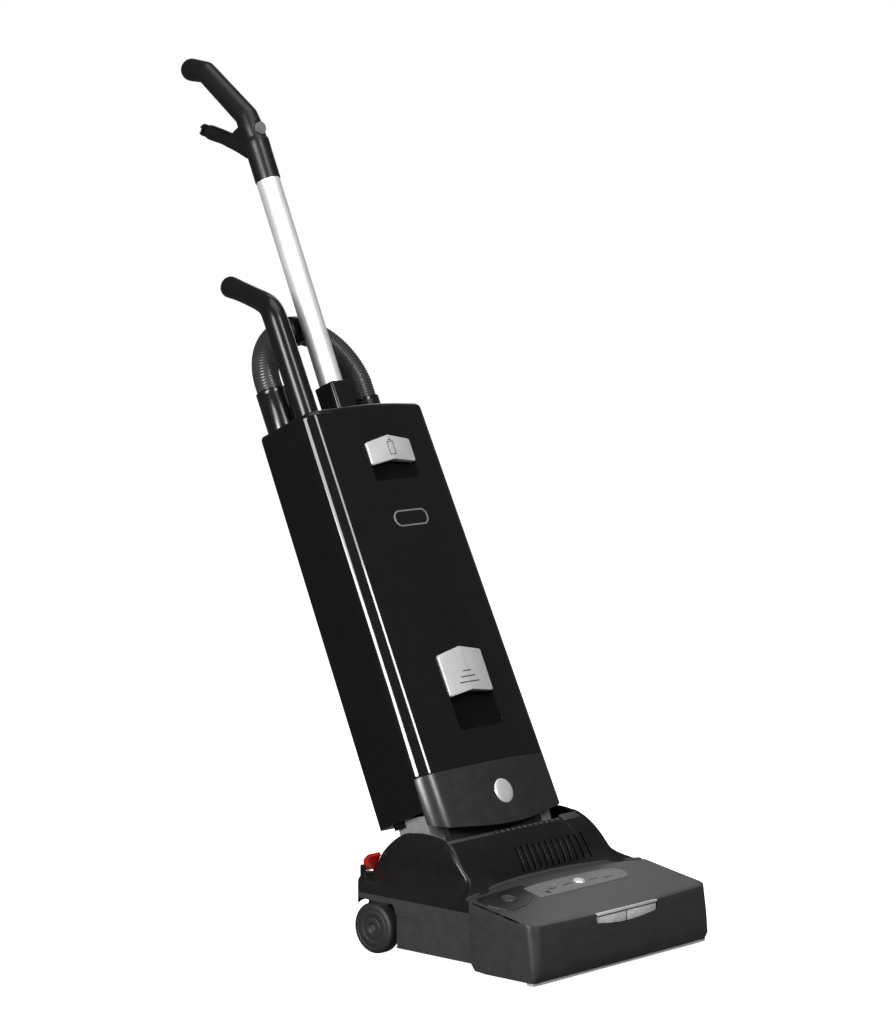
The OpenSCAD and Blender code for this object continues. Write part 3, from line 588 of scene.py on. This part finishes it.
def make_marks():
    """Plain pictograms: an upright rounded frame on the upper latch, three bars on the lower."""
    for name, rides_on, (half, low, _), strokes in (
            ("upper_latch_mark", "door_latch", UPPER_LATCH,
             [(-6, -5, 600, 620), (5, 6, 600, 620), (-6, 6, 600, 601), (-6, 6, 619, 620),
              (-2.5, 2.5, 621.5, 623)]),
            ("lower_latch_mark", "filter_latch", LOWER_LATCH,
             [(-20, 20, 262, 263.4), (-14, 14, 270, 271.4), (-8, 8, 278, 279.4)])):
        boxes = []
        for x0, x1, w0, w1 in strokes:
            for a, b in ((x0, min(0, x1)), (max(0, x0), x1)):
                if b > a:
                    corners = ((a, w0), (b, w0), (b, w1), (a, w1))
                    boxes.append(loft([[body(LATCH_X + x, latch_face(face_v(low), half, x) + lift,
                                             w) for x, w in corners] for lift in (-0.35, 0.4)]))
        mark = new_solid(name, *merge(boxes))
        present(mark, rides_on, "mark_dark")


def make_badge():
    """A plain unlettered oblong ring on the door."""
    half_x, half_w, middle = 34, 12, 507

    def pill(grow):
        outline = []
        for k in range(48):
            t = 2 * pi * (k + 0.5) / 48
            flat = copysign(half_x - half_w, cos(t))
            outline.append((flat + (half_w + grow) * cos(t),
                            middle + (half_w + grow) * sin(t)))
        return outline

    def ring(grow, lift):
        return [body(x, face_v(w) + x * x / CROWN / 2 + lift, w) for x, w in pill(grow)]

    rim = [ring(0, 0.3), ring(0, -0.5), ring(-0.5, -0.8), ring(-2, -0.8), ring(-2.4, -0.4),
           ring(-2.4, 0.3)]
    present(new_solid("badge_rim", *ring_loft(rim)), "door", "mark_grey")


def make_band_cap():
    front = body(0, face_v(CAP_W), CAP_W)
    profile = [(0, 1.9), (8, 1.8), (13, 1.4), (16.2, 0.8), (17.2, 0.2), (17.5, -0.4), (17.5, -1.0),
               (16.9, -1.2), (16.9, -3.4), (0, -3.4)]
    cap = revolve("round_cap", front, -BACK, profile)
    present(cap, "upright", "silver", ["band_cap"])


# ---- upright: hose, wand and grip -------------------------------------------

HOSE_R, ARCH_W, ARCH_TILT, HOSE_FOOT = 19, 741.5, radians(5.5), 662
ARCH_RISE = BACK * sin(ARCH_TILT) + UP * cos(ARCH_TILT)
ARCH_LEAN = BACK * cos(ARCH_TILT) - UP * sin(ARCH_TILT)


def make_hose():
    """Ribbed hose: up one leg, round the arch and down the other."""
    leg, arch, pitch, per_rib = ARCH_W - HOSE_FOOT, pi * HOSE_X, 3.8, 5
    length, stations = 2 * leg + arch, []
    count = round(length / pitch) * per_rib
    for k in range(count + 1):
        s = length * k / count
        if s < leg or s > length - leg:
            side, w = (-1, HOSE_FOOT + s) if s < leg else (1, HOSE_FOOT + length - s)
            centre, out, across = body(side * HOSE_X, HOSE_V, w), ACROSS * side, BACK
        else:
            a = pi - (s - leg) / HOSE_X
            out = ACROSS * cos(a) + ARCH_RISE * sin(a)
            centre, across = body(0, HOSE_V, ARCH_W) + out * HOSE_X * MM, ARCH_LEAN
        wave = 0.5 + 0.5 * cos(2 * pi * (k % per_rib) / per_rib)
        stations.append((centre, HOSE_R - 0.9 + 0.9 * wave ** 0.6, out, across))
    hose = new_solid("ribbed_hose", *sweep(stations))
    present(hose, "upright", "hose_black", ["hose"], sharp=75)


def make_cuffs():
    """Moulded end cuffs with a groove near the top, and the clip at the arch's top."""
    for side, w0, tall, name in ((-1, 679, 62, "left"), (1, 662, 56, "right")):
        profile = [(19.1, 0), (20.6, 0), (21.3, 0.6), (21.5, 2), (21.5, tall - 8),
                   (21.2, tall - 7.4), (21.2, tall - 6.6), (21.5, tall - 6), (21.5, tall - 1.5),
                   (20.9, tall - 0.4), (20.2, tall), (19.1, tall)]
        cuff = revolve(f"hose_cuff_{name}", body(side * HOSE_X, HOSE_V, w0), UP, profile)
        stands = ["hose_fittings"] if side < 0 else []
        present(cuff, "upright", "satin_black", stands)
    top = body(-11, HOSE_V, ARCH_W) + ARCH_RISE * HOSE_X * MM
    profile = [(19.2, 0), (20.8, 0), (21.4, 0.8), (21.4, 21.2), (20.8, 22), (19.2, 22)]
    present(revolve("hose_clip", top, ACROSS, profile), "upright", "satin_black")


WAND_X, WAND_V, WAND_R = -80, -7, 17.5
BUTTON_TURN = radians(102)  # the grip button's direction, from the tube's own


def make_wand():
    """Straight tube, an elbow and a hand end that swells to a rounded tip."""
    tip = [(0, 446, WAND_R), (0, 640, WAND_R), (0, 822, WAND_R), (0.6, 836, 17.4), (4, 848, 17),
           (11, 858, 16.2), (22, 868, 15.2), (35, 879, 14.6), (50, 892, 14.4), (63, 903, 15),
           (72, 910, 15.8)]
    stations = []
    for k, (v, w, r) in enumerate(tip):
        a, b = tip[max(k - 1, 0)], tip[min(k + 1, len(tip) - 1)]
        run = (BACK * (b[0] - a[0]) + UP * (b[1] - a[1])).normalized()
        shift = 8 * step(836, 877, w)
        stations.append((body(WAND_X + shift, WAND_V + v, w), r, ACROSS, run.cross(ACROSS)))
    centre, r, one, two = stations[-1]
    run = one.cross(two)
    if run.dot(UP) < 0:
        run = -run
    for k in range(1, 9):
        a = pi / 2 * k / 8.02
        stations.append((centre + run * r * 0.85 * sin(a) * MM, r * cos(a), one, two))
    wand = subdivide(new_solid("wand_tube", *sweep(stations)))
    present(wand, "wand", "satin_black", ["wand"], sharp=60)


def make_grip():
    """The grip's CAD solid, remeshed and rounded into one moulding with a seat for its button."""
    grip = add_object("hand_grip", NODES["handle_grip"].data.copy())
    melt = grip.modifiers.new("melt", "REMESH")
    melt.mode = "VOXEL"
    melt.voxel_size = 1.5 * MM
    relax = grip.modifiers.new("relax", "SMOOTH")
    relax.factor = 0.5
    relax.iterations = 14
    settle(grip)
    sleeve_top, sleeve_r, fuller = 372, 18.5, 2.2
    normals = [v.normal.copy() for v in grip.data.vertices]
    for v, normal in zip(grip.data.vertices, normals):
        off = (v.co - handle(0, 0, 0)) / MM
        x, a, b = off.x, off.dot(TUBE_BACK), off.dot(TUBE_UP)
        reach = hypot(x, a)
        if b < sleeve_top and 16 < reach < 24:
            tight = lerp(1, min(1, sleeve_r / reach), 1 - step(345, sleeve_top, b))
            v.co += (ACROSS * x + TUBE_BACK * a) * (tight - 1) * MM
        v.co += normal * fuller * step(365, 395, b) * MM
    out = TUBE_BACK * -sin(BUTTON_TURN) + TUBE_UP * cos(BUTTON_TURN)
    carve(grip, [revolve("tool", handle(0, -15, 384), out.normalized(),
                         [(0, -5), (9.7, -5), (9.7, 30), (0, 30)])])
    present(grip, "upright", "grip_black", ["handle_grip"], sharp=70)


def make_tube():
    profile = [(14.4, -65), (17.2, -65), (17.2, 339), (14.4, 339)]
    tube = revolve("bright_tube", handle(0, 0, 0), TUBE_UP, profile, 96)
    present(tube, "upright", "aluminium", ["handle_tube"])


def make_yoke():
    """Two arms that carry the body over the neck drum."""
    for side, name in ((-1, "left"), (1, "right")):
        outline = [(-24, 56), (-28, 78), (-28, 98.5), (-14, 101.5), (0, 102.5), (14, 101.5),
                   (26, 99), (27, 80), (24, 56)]
        arm = prism(body, rounded(outline, [2, 4, 4, 20, 20, 20, 4, 4, 2]),
                    (side * 94, side * 123.4), "x")
        carve(arm, [neck_bore(62.1, 144)])
        arm.name = f"yoke_arm_{name}"
        soften(arm, 1.4, 3)
        present(arm, "upright", "neck_grey", ["neck_yoke"] if side < 0 else [])


def make_socket():
    """Rounded block that holds the foot of the handle tube."""
    outline = rounded([(-18.8, -14), (18.8, -14), (18.8, 24), (-18.8, 24)], 7, 6)
    socket = prism(body, outline, (665, 732), "z")
    socket.name = "handle_socket"
    carve(socket, [revolve("tool", handle(0, 0, 0), TUBE_UP,
                           [(0, -66), (17.3, -66), (17.3, 40), (0, 40)], 96)])
    soften(socket, 1.2, 3)
    present(socket, "upright", "satin_black", ["tube_socket"])


# ---- head -------------------------------------------------------------------

HOOD_HALF, HOOD_LOW = 183, 6.5
HOOD_REAR_Z, HOOD_SLOPE, HOOD_DATUM = 100.4, 0.1737, -93.8
HOOD_NORMAL = Vector((0, -HOOD_SLOPE, 1)).normalized()
RELEASE_AT, BUTTON_AT = (-127.5, -114.6), (21, -111)


def hood_top(y):
    return HOOD_REAR_Z + HOOD_SLOPE * (y - HOOD_DATUM)


def hood_bore(at, radius):
    """A round cutter through the hood's top."""
    return prism(head, circle(*at, radius), (78, 112), "z")


def hood_rear(x):
    """The rear edge bows back in the middle."""
    return -65 - 27 * (abs(x) / 181) ** 2.2


def hood_plan(level):
    """Left half of the front outline at a level from 0, the bottom, to 1, the top edge."""
    radius = lerp(8, 17, level)
    front = along([(0, -206), (0.12, -211.5), (0.5, -212.6), (1, -211.8)], level)
    bow = lerp(1, 6, level)
    edge = HOOD_HALF - radius
    made = []
    for k in range(9):
        a = radians(90 - 90 * k / 8)
        made.append((-edge - radius * sin(a), front + bow + radius * (1 - cos(a))))
    for k in range(1, 13):
        x = -edge * (1 - k / 12)
        made.append((x, front + bow * (x / edge) ** 2))
    return made


def headlight_outline(grow=0.0):
    """Flat along the top and curved below, a little deeper right of the middle."""
    top, left, right = 80.8 + grow, -62 - grow, 66.5 + grow
    made = [(left, top), (left + 0.5, 72)]
    for k in range(11):
        t = k / 10
        x = lerp(left + 2.5, right - 0.5, t)
        made.append((x, 66.2 - 5.4 * sin(pi * t) - grow))
    return made + [(right, 70), (right + 0.3, top)]


def make_hood():
    """Sides and front, and a sloping top with a bowed rear edge, as one 3 mm wall."""
    sides, levels, deep = [], 9, 12
    for i in range(levels):
        level = i / (levels - 1)
        left = hood_plan(level)
        plan = left + [(-x, y) for x, y in reversed(left[:-1])]
        rear = [(-HOOD_HALF, hood_rear(HOOD_HALF) - 0.5)]
        plan = rear + [(-HOOD_HALF, -140)] + plan + [(HOOD_HALF, -140), (HOOD_HALF, rear[0][1])]
        sides.append([head(x, y, lerp(HOOD_LOW, hood_top(y), level)) for x, y in plan])
    top = []
    for j in range(deep + 1):
        depths = [(x, lerp(y, hood_rear(x) - 0.5, j / deep)) for x, y in plan[2:-2]]
        top.append([head(x, y, hood_top(y)) for x, y in depths])
    hood = new_object("hood_cover", *merge([loft(rows, closed=False, caps=False)
                                            for rows in (sides, top)]))
    weld(hood, 0.05)
    thick = hood.modifiers.new("wall", "SOLIDIFY")
    thick.thickness = 3 * MM
    thick.offset = -1
    settle(hood)
    soften(hood, 1.6, 3, 34)
    window = prism(head, headlight_outline(), (-230, -196), "y")
    foot = prism(head, [(-85, 24), (-92.2, 24), (-104, 8), (-142, 5), (-142, -5), (-85, -5)],
                 (-FAR, FAR), "x")
    carve(hood, [window, foot, hood_bore(RELEASE_AT, 11.5), hood_bore(BUTTON_AT, 9.5)])
    present(hood, "head", "hood_grey", ["front_hood"], sharp=32)


def make_hood_trim():
    """Raised bead between the hood's bowed rear edge and the dome."""
    rings = []
    for k in range(61):
        x = -179 + 358 * k / 60
        y = hood_rear(x)
        z = hood_top(y)
        rings.append([head(x, y + dy, z + dz) for dy, dz in
                      ((-0.6, -1.5), (-0.5, 0.5), (0.6, 1.3), (3.5, 1.9), (6, 1.6), (7, 0.4),
                       (7, -2))])
    bead = new_solid("hood_rim", *loft(rings))
    present(bead, "head", "trim_grey", ["hood_trim"])


def on_hood(lift):
    """Place function for flat things on the sloping hood: (x, y) with heights above it."""
    return lambda x, y, h: head(x, y, hood_top(y) + lift + h)


def make_panel():
    """Label strip with its lamps, blank dashes for its wording, and its button."""
    outline = [(-78, -96), (-45, -92.5), (0, -91.2), (45, -92), (80, -94.5), (104, -97.5),
               (114, -108), (112, -121), (100, -131), (60, -132), (0, -132.2), (-81, -131.5)]
    plate = prism(on_hood(0), rounded(outline, [4, 40, 60, 60, 30, 12, 8, 8, 12, 30, 60, 6], 4),
                  (-0.3, 0.7), "z")
    plate.name = "label_strip"
    carve(plate, [hood_bore(BUTTON_AT, 9.6)])
    soften(plate, 0.3, 2)
    present(plate, "head", "panel_grey", ["control_panel"], sharp=6)
    for k, (x, y, r) in enumerate(((-56, -107, 3.2), (-22, -104, 2.6), (-56, -122, 4.2),
                                   (62, -104, 2.6), (88, -107, 2.6))):
        lamp = revolve(f"panel_lamp_{k}", on_hood(0.6)(x, y, 0), HOOD_NORMAL,
                       [(0, 0.9), (r * 0.6, 0.8), (r, 0.3), (r, -0.4), (0, -0.4)], 32)
        present(lamp, "head", "mark_dark" if k == 2 else "mark_grey",
                ["indicator_lights"] if k == 0 else [])
    w, d = 9, 1.2
    for k, (x, y) in enumerate(((-40, -115), (-8, -113), (46, -116), (72, -119))):
        corners = [(x - w, y - d), (x + w, y - d), (x + w, y + d), (x - w, y + d)]
        dash = prism(on_hood(0.7), corners, (-0.3, 0.2), "z")
        dash.name = f"panel_dash_{k}"
        present(dash, "head", "mark_dark")
    button = revolve("round_button", on_hood(0)(*BUTTON_AT, 0), HOOD_NORMAL,
                     [(0, 3.0), (5, 2.8), (7.6, 2.2), (8.8, 1.2), (9, 0.2), (9, -6), (10.5, -6),
                      (10.5, -9), (0, -9)])
    present(button, "panel_button", "silver", ["panel_button"])


def make_release():
    """Dark inset on the hood, and the button in it."""
    outline = rounded([(-168, -93.5), (-66, -84.5), (-81, -120.6), (-120, -141), (-160, -150),
                       (-175, -120), (-175, -100)], [5, 6, 14, 30, 10, 10, 6])
    inset = prism(on_hood(0), outline, (-0.3, 0.6), "z")
    inset.name = "button_inset"
    carve(inset, [hood_bore(RELEASE_AT, 11.6)])
    soften(inset, 0.25, 2)
    present(inset, "head", "dome_black", ["release_surround"], sharp=6)
    button = revolve("release_button", on_hood(0)(*RELEASE_AT, 0), HOOD_NORMAL,
                     [(0, 1.2), (7.2, 1.2), (8, 1.9), (8.8, 2.3), (10.3, 2.2), (11, 1.4), (11, -6),
                      (12.6, -6), (12.6, -9), (0, -9)])
    present(button, "brush_release", "hood_grey", ["brush_release_button"])


def lens_outline(corners, run, arc):
    """Flat along the top between two corners, and bowed below over part of a sine arc."""
    made = [(corners[0], 74.8)]
    for k in range(9):
        made.append((lerp(*run, k / 8), 66.8 - 5.2 * sin(pi * lerp(*arc, k / 8))))
    return made + [(corners[1], 74.8)]


def make_headlight():
    """Bright top bar over two clear lenses, set back in the hood's window."""
    def face_y(x):
        return -211.8 + 6 * (x / 166) ** 2

    bar_outline = rounded([(-60.5, 80.3), (-60.5, 76.6), (65.5, 76.6), (65.5, 80.3)], 1.2)
    for name, outline, proud, material in (
            ("lamp_bar", bar_outline, 0.6, "lamp_bright"),
            ("lens_left", lens_outline((-59.5, 0.3), (-58.5, 0.3), (0, 0.47)), -1.2, "lens"),
            ("lens_right", lens_outline((3.2, 64.3), (3.2, 63.5), (0.5, 0.93)), -1.2, "lens")):
        rings = []
        for depth in (0, 6):
            rings.append([head(x, face_y(x) - proud + depth, z) for x, z in outline])
        lens = new_solid(name, *loft(rings))
        soften(lens, 0.7, 2)
        present(lens, "head", material, ["headlight_lens"] if name == "lamp_bar" else [])


DOME_R = 86
# The dome's half width at a height, then its rear corners in plan
RIM_EDGE = [(82.2, 178.5), (86, 178), (93, 172), (100, 161), (108, 153), (120, 149.5),
            (135, 149.5), (150, 146), (160, 143), (173, 138)]
PLAN_Y, PLAN_X, PLAN_R = 102, 153.5, 25
# Sides of the vent field, as (degrees forward of vertical, x)
VENT_LEFT = [(33, -62), (39, -60), (49, -54), (70, -52), (77, -34)]
VENT_RIGHT = [(33, 96), (50, 97), (54, 101), (60, 114), (77, 117)]


def flare(y):
    """Height of the dome's sides where they run out to the hood."""
    pairs = []
    for k in range(9):
        t = k / 8
        p = [(1 - t) ** 2 * a + 2 * t * (1 - t) * b + t * t * c
             for a, b, c in ((-92, -71, -40.9), (99.4, 105, 141.3))]
        pairs.append(tuple(p))
    return along(pairs, y)


def dome_top(x, y, wall):
    """Height of the dome over (x, y), with its vent field set 1.2 mm back."""
    reach = y - AXIS_Y
    turn = degrees(asin(max(-1, min(1, -reach / DOME_R))))
    left, right = along(VENT_LEFT, turn), along(VENT_RIGHT, turn)
    inside = step(left - 1, left + 1, x) * (1 - step(right - 1, right + 1, x))
    inside *= step(33, 35, turn) * (1 - step(76, 78, turn))
    radius = DOME_R - wall - 1.2 * inside * (wall == 0)
    low_y = AXIS_Y - 0.972 * radius
    if y < low_y:
        rounded_z = AXIS_Z + 0.235 * radius - (low_y - y) * 1.6
    elif turn < -77:
        rounded_z = 105.3 - wall - (y - 108.8) * 0.07
    else:
        rounded_z = AXIS_Z + sqrt(max(radius ** 2 - reach ** 2, 0))
    if y > -40.9:
        return max(rounded_z, 80)
    return max(80, lerp(rounded_z, flare(y) - wall, step(55, 140, abs(x))))


def plan_edge(y, wall):
    """Half width of the cover in plan, rounded at its rear corners."""
    return PLAN_X + sqrt(max((PLAN_R - wall) ** 2 - max(y - PLAN_Y, 0) ** 2, 0))


def dome_body(wall, low, columns):
    """A closed solid of the dome, or of its hollow when wall is above 0."""
    ys = [-92.2 + wall + k * (31.2 - wall) / 11 for k in range(12)]
    ys += [AXIS_Y - DOME_R * sin(radians(a)) for a in
           [75.6 - 2.4 * k for k in range(64)]]
    ys += [111, 113.5, 116, 118.5, 120.5, 122.5, 124, 125.5, 126.5, 127 - wall]
    ys = sorted(set(round(y, 3) for y in ys if y <= 127 - wall))
    rings, on_top = [], 15  # how many of a half's points lie on its side and its fillet
    for y in ys:
        out = step(-60, -91, y)
        half = []
        crest = dome_top(150, y, wall)
        edge = min(lerp(along(RIM_EDGE, crest), 178.5, out) - wall, plan_edge(y, wall))
        fillet = min(6, (crest - low) * 0.6)
        for k in range(11):
            z = lerp(low, crest - fillet, k / 10)
            side = lerp(along(RIM_EDGE, max(z, 82.2)), 178.5, out) - wall
            half.append((min(side, plan_edge(y, wall)), z))
        for k in range(1, 6):
            a = pi / 2 * k / 5
            x = edge - fillet * (1 - cos(a))
            half.append((x, dome_top(x, y, wall) - fillet * (1 - sin(a))))
        for k in range(1, columns + 1):
            x = (edge - fillet) * (1 - k / columns)
            half.append((x, dome_top(x, y, wall)))
        whole = half[:-1] + [(0, dome_top(0, y, wall))]
        whole += [(-x, dome_top(-x, y, wall) if k >= on_top else z)
                  for k, (x, z) in reversed(list(enumerate(half[:-1])))]
        rings.append([head(x, y, z) for x, z in whole])
    return new_solid("dome_shell", *loft(rings))


def sector(r0, r1, a0, a1, steps=8):
    """A piece of a ring round the tilt axis, as (y, z); angles are forward of vertical."""
    turns = [radians(lerp(a0, a1, k / steps)) for k in range(steps + 1)]
    outer = [(AXIS_Y - r1 * sin(a), AXIS_Z + r1 * cos(a)) for a in turns]
    inner = [(AXIS_Y - r0 * sin(a), AXIS_Z + r0 * cos(a)) for a in reversed(turns)]
    return outer + inner


LIP = 27.5  # degrees forward of vertical
SLOTS = [-30 + 12.4 * k for k in range(12)]


def make_dome():
    """Dome over the neck drum, with a slotted vent field and an open rear."""
    dome = dome_body(0, 82.2, 60)
    s, c = sin(radians(LIP)), cos(radians(LIP))
    opening = [(AXIS_Y - 60 * s, AXIS_Z + 60 * c), (AXIS_Y - 100 * s, AXIS_Z + 100 * c), (0, 220),
               (200, 220), (200, 60), (60, 60)]
    tools = [dome_body(3, 70, 24), prism(head, opening, (-139, 139), "x"),
             block(head, -143, 143, 95, 155, 60, 160)]
    for x in SLOTS:
        tools.append(prism(head, sector(70, 95, 49, 74), (x - 2, x + 2), "x"))
    carve(dome, tools)
    soften(dome, 0.7, 2, 45)
    ears = []
    for side in (-1, 1):
        for x, low in ((142.6, 103), (167.8, 93.4)):
            ear = rounded([(107.8, low), (116, low), (116, 118), (107.8, 118)], [0.5, 0.5, 3, 3])
            ears.append(prism(head, ear, (side * x, side * (x + 2.5)), "x"))
    carve(dome, ears, "UNION")
    present(dome, "head", "dome_black", ["dome_cover"], sharp=38)


def make_lip():
    """Strip along the dome's lip: plain at one side, then a comb of teeth, then an end block."""
    def band(name, x0, x1, a0, a1, r1, material):
        strip = prism(head, sector(DOME_R - 2, r1, a0, a1), (x0, x1), "x")
        strip.name = name
        soften(strip, 0.4, 2)
        present(strip, "head", material)

    band("lip_strip", -141, -48, LIP + 0.4, 31.6, DOME_R + 0.5, "base_grey")
    pitch = 138 / 12
    for k in range(12):
        x = -44 + pitch * k
        band(f"lip_tooth_{k}", x, x + 6.5, LIP + 0.4, 31.2, DOME_R + 0.5, "base_grey")
    band("lip_block", 95, 129, 24.5, 33, DOME_R + 0.7, "base_grey")
    for k, x in enumerate(SLOTS):
        band(f"vent_rib_{k}", x + 2.6, x + 3.6, 49, 75, DOME_R - 0.4, "satin_black")


def make_wheels():
    """Moulded wheels: rounded tread, two rings on the face and a shallow hub."""
    profile = [(5.05, 0), (30, 0), (33, 1), (34.6, 2.6), (35, 5), (35, 14), (34.6, 16.6),
               (33.4, 18.8), (31.2, 20.4), (28.4, 21)]
    for outer, inner in ((27.2, 24.8), (16.6, 14.4)):
        profile += [(outer, 21), (outer - 0.4, 20.8), (outer - 0.7, 20.5), (inner + 0.7, 20.5),
                    (inner + 0.4, 20.8), (inner, 21)]
    profile += [(8, 21.0), (7, 20.8), (6.6, 20.3), (5.05, 19.4)]
    for side, name in ((-1, "left"), (1, "right")):
        wheel = revolve(f"rear_wheel_{name}", head(side * 157, 87, 35), ACROSS * side, profile, 96)
        present(wheel, f"wheel_{name}", "wheel_grey", [f"wheel_{name}"], sharp=50)


BRUSH_Y, BRUSH_Z = -150, 36


def make_bristles():
    """Tufts in four rows wound round the core, each a small fan of fine bristles."""
    draw = random.Random(4)
    bristles, tufts, core, reach = [], 38, 22, 33.2
    for row in range(4):
        for i in range(tufts):
            x0 = -144 + 288 * i / (tufts - 1)
            turn = radians(row * 90 + i * 160 / tufts)
            for _ in range(9):
                x = x0 + draw.uniform(-2.6, 2.6)
                a = turn + draw.uniform(-0.05, 0.05)
                b = a + draw.uniform(-0.06, 0.06)
                tip = reach - draw.uniform(0, 0.8)
                rings = []
                for r, angle, half in ((core - 0.5, a, 0.45), (tip, b, 0.3)):
                    s, c = sin(angle), cos(angle)
                    rings.append([head(x + dx, BRUSH_Y + r * s + da * c, BRUSH_Z + r * c - da * s)
                                  for dx, da in ((-half, 0), (half, 0), (0, 2 * half))])
                bristles.append(loft(rings))
    tuft = new_solid("bristle_rows", *merge(bristles))
    present(tuft, "brush", "bristle", ["brush_bristles"])


def make_bag():
    """Partly filled dust bag: crowned between its edges, with soft folds and a sealed rim."""
    lo, hi = (-51.8, -39.8, 306.4), (91.8, 1.6, 625.6)
    mid_x, mid_v, mid_w = ((a + b) / 2 for a, b in zip(lo, hi))
    half_x, half_v, half_w = ((b - a) / 2 for a, b in zip(lo, hi))
    rings, levels, around = [], 40, 72
    for i in range(levels + 1):
        t = -1 + 2 * i / levels
        end = (1 - abs(t) ** 5) ** 0.5
        ring = []
        for k in range(around):
            a = 2 * pi * k / around
            c, s = cos(a), sin(a)
            x = copysign(abs(c) ** 0.55, c) * half_x * (0.93 + 0.07 * end)
            full = 0.22 + 0.78 * end
            fold = 1 - 0.05 * (0.5 + 0.5 * sin(11 * t + 3 * c)) - 0.04 * abs(sin(6 * c))
            v = copysign(abs(s) ** 0.6, s) * half_v * full * fold
            ring.append(body(mid_x + x, mid_v + v, mid_w + t * half_w))
        rings.append(ring)
    bag = subdivide(new_solid("dust_bag", *loft(rings)))
    present(bag, "upright", "bag_paper", ["filter_bag"], sharp=60)


def dress_frame():
    """Materials for the CAD nodes that stay, and rounded edges on those that show."""
    for part in frame["record"]["subparts"]:
        node = NODES[part["node"]]
        if node.hide_render:
            continue
        node.data.materials.clear()
        slot = part["material_slot"]
        looks = {"hood_grey": "base_grey"}.get(slot, slot)
        looks = {"motor_deck": "gloss_black", "grip_button": "mark_grey"}.get(part["node"], looks)
        node.data.materials.append(MATERIALS[looks])
    rounded_nodes = {"base_housing": 0.8, "skirt_band": 0.8, "neck_duct": 1.0, "power_pedal": 1.2,
                     "recline_pedal": 1.2, "wear_strip": 0.5, "grip_button": 0.8,
                     "cable_hook": 0.8, "rear_fittings": 1.2, "motor_deck": 0.8,
                     "headlight_frame": 0.4, "sole_plate": 0.4}
    for name, width in rounded_nodes.items():
        bevel(NODES[name], width, 3, 40)


# ---- studio -----------------------------------------------------------------


def softbox(name, azimuth, elevation, distance, size, power, aim=(0, 0, 0.5)):
    """A soft light; azimuth is counted from the front, -Y, towards +X."""
    a, e = radians(azimuth), radians(elevation)
    toward = Vector((sin(a) * cos(e), -cos(a) * cos(e), sin(e)))
    light = bpy.data.lights.new(name, "AREA")
    light.shape = "RECTANGLE"
    light.size, light.size_y = size
    light.energy = power
    lamp = add_object(name, light)
    lamp.location = Vector(aim) + toward * distance
    lamp.rotation_euler = toward.to_track_quat("Z", "Y").to_euler()


WORLD_LIGHT, FLOOR_GLOW = 0.09, 0.97


def make_studio():
    """Two tall pairs of softboxes whose reflections run down the body's corner, and a fill."""
    corner = (-0.11, -0.04, 0.51)
    softbox("left_low", -77.5, 11, 3.0, (0.85, 1.0), 85, corner)
    softbox("left_high", -77.5, 30, 3.0, (0.85, 1.0), 34, corner)
    softbox("front_low", -7, 27, 3.0, (0.5, 1.0), 48, corner)
    softbox("front_high", -7, 46, 3.0, (0.5, 1.0), 18, corner)
    softbox("rear_right", 128, 26, 3.2, (1.6, 1.2), 5, (0, 0, 0.3))
    softbox("overhead", 20, 80, 3.0, (2.2, 2.2), 25)
    world = bpy.data.worlds.new("studio")
    bpy.context.scene.world = world
    world.use_nodes = True
    nodes, links = world.node_tree.nodes, world.node_tree.links
    nodes.clear()
    out = nodes.new("ShaderNodeOutputWorld")
    seen, felt = nodes.new("ShaderNodeBackground"), nodes.new("ShaderNodeBackground")
    for background, strength in ((seen, 1.0), (felt, WORLD_LIGHT)):
        background.inputs["Strength"].default_value = strength
        background.inputs["Color"].default_value = (1, 1, 1, 1)
    ray, pick = nodes.new("ShaderNodeLightPath"), nodes.new("ShaderNodeMixShader")
    links.new(ray.outputs["Is Camera Ray"], pick.inputs["Fac"])
    links.new(felt.outputs["Background"], pick.inputs[1])
    links.new(seen.outputs["Background"], pick.inputs[2])
    links.new(pick.outputs["Shader"], out.inputs["Surface"])
    size = 30
    floor = new_object("floor", [(-size, -size, 0), (size, -size, 0), (size, size, 0),
                                 (-size, size, 0)], [(0, 1, 2, 3)])
    pale = bpy.data.materials.new("floor_pale")
    pale.use_nodes = True
    shader = pale.node_tree.nodes["Principled BSDF"]
    shader.inputs["Base Color"].default_value = (0.8, 0.8, 0.8, 1)
    shader.inputs["Roughness"].default_value = 0.9
    shader.inputs["Emission Color"].default_value = (1, 1, 1, 1)
    shader.inputs["Emission Strength"].default_value = FLOOR_GLOW
    floor.data.materials.append(pale)
    floor.visible_glossy = False
    floor.visible_diffuse = False
    bpy.context.scene.view_settings.view_transform = "Standard"
    bpy.context.scene.cycles.use_denoising = True


make_door()
make_rear_shell()
make_lower_band()
make_latch("upper_latch", "door_latch", *UPPER_LATCH)
make_latch("lower_latch", "filter_latch", *LOWER_LATCH)
make_recess_shade()
make_marks()
make_badge()
make_band_cap()
make_hose()
make_cuffs()
make_wand()
make_tube()
make_socket()
make_yoke()
make_grip()
make_hood()
make_hood_trim()
make_panel()
make_release()
make_headlight()
make_dome()
make_lip()
make_wheels()
make_bristles()
make_bag()
dress_frame()
make_studio()
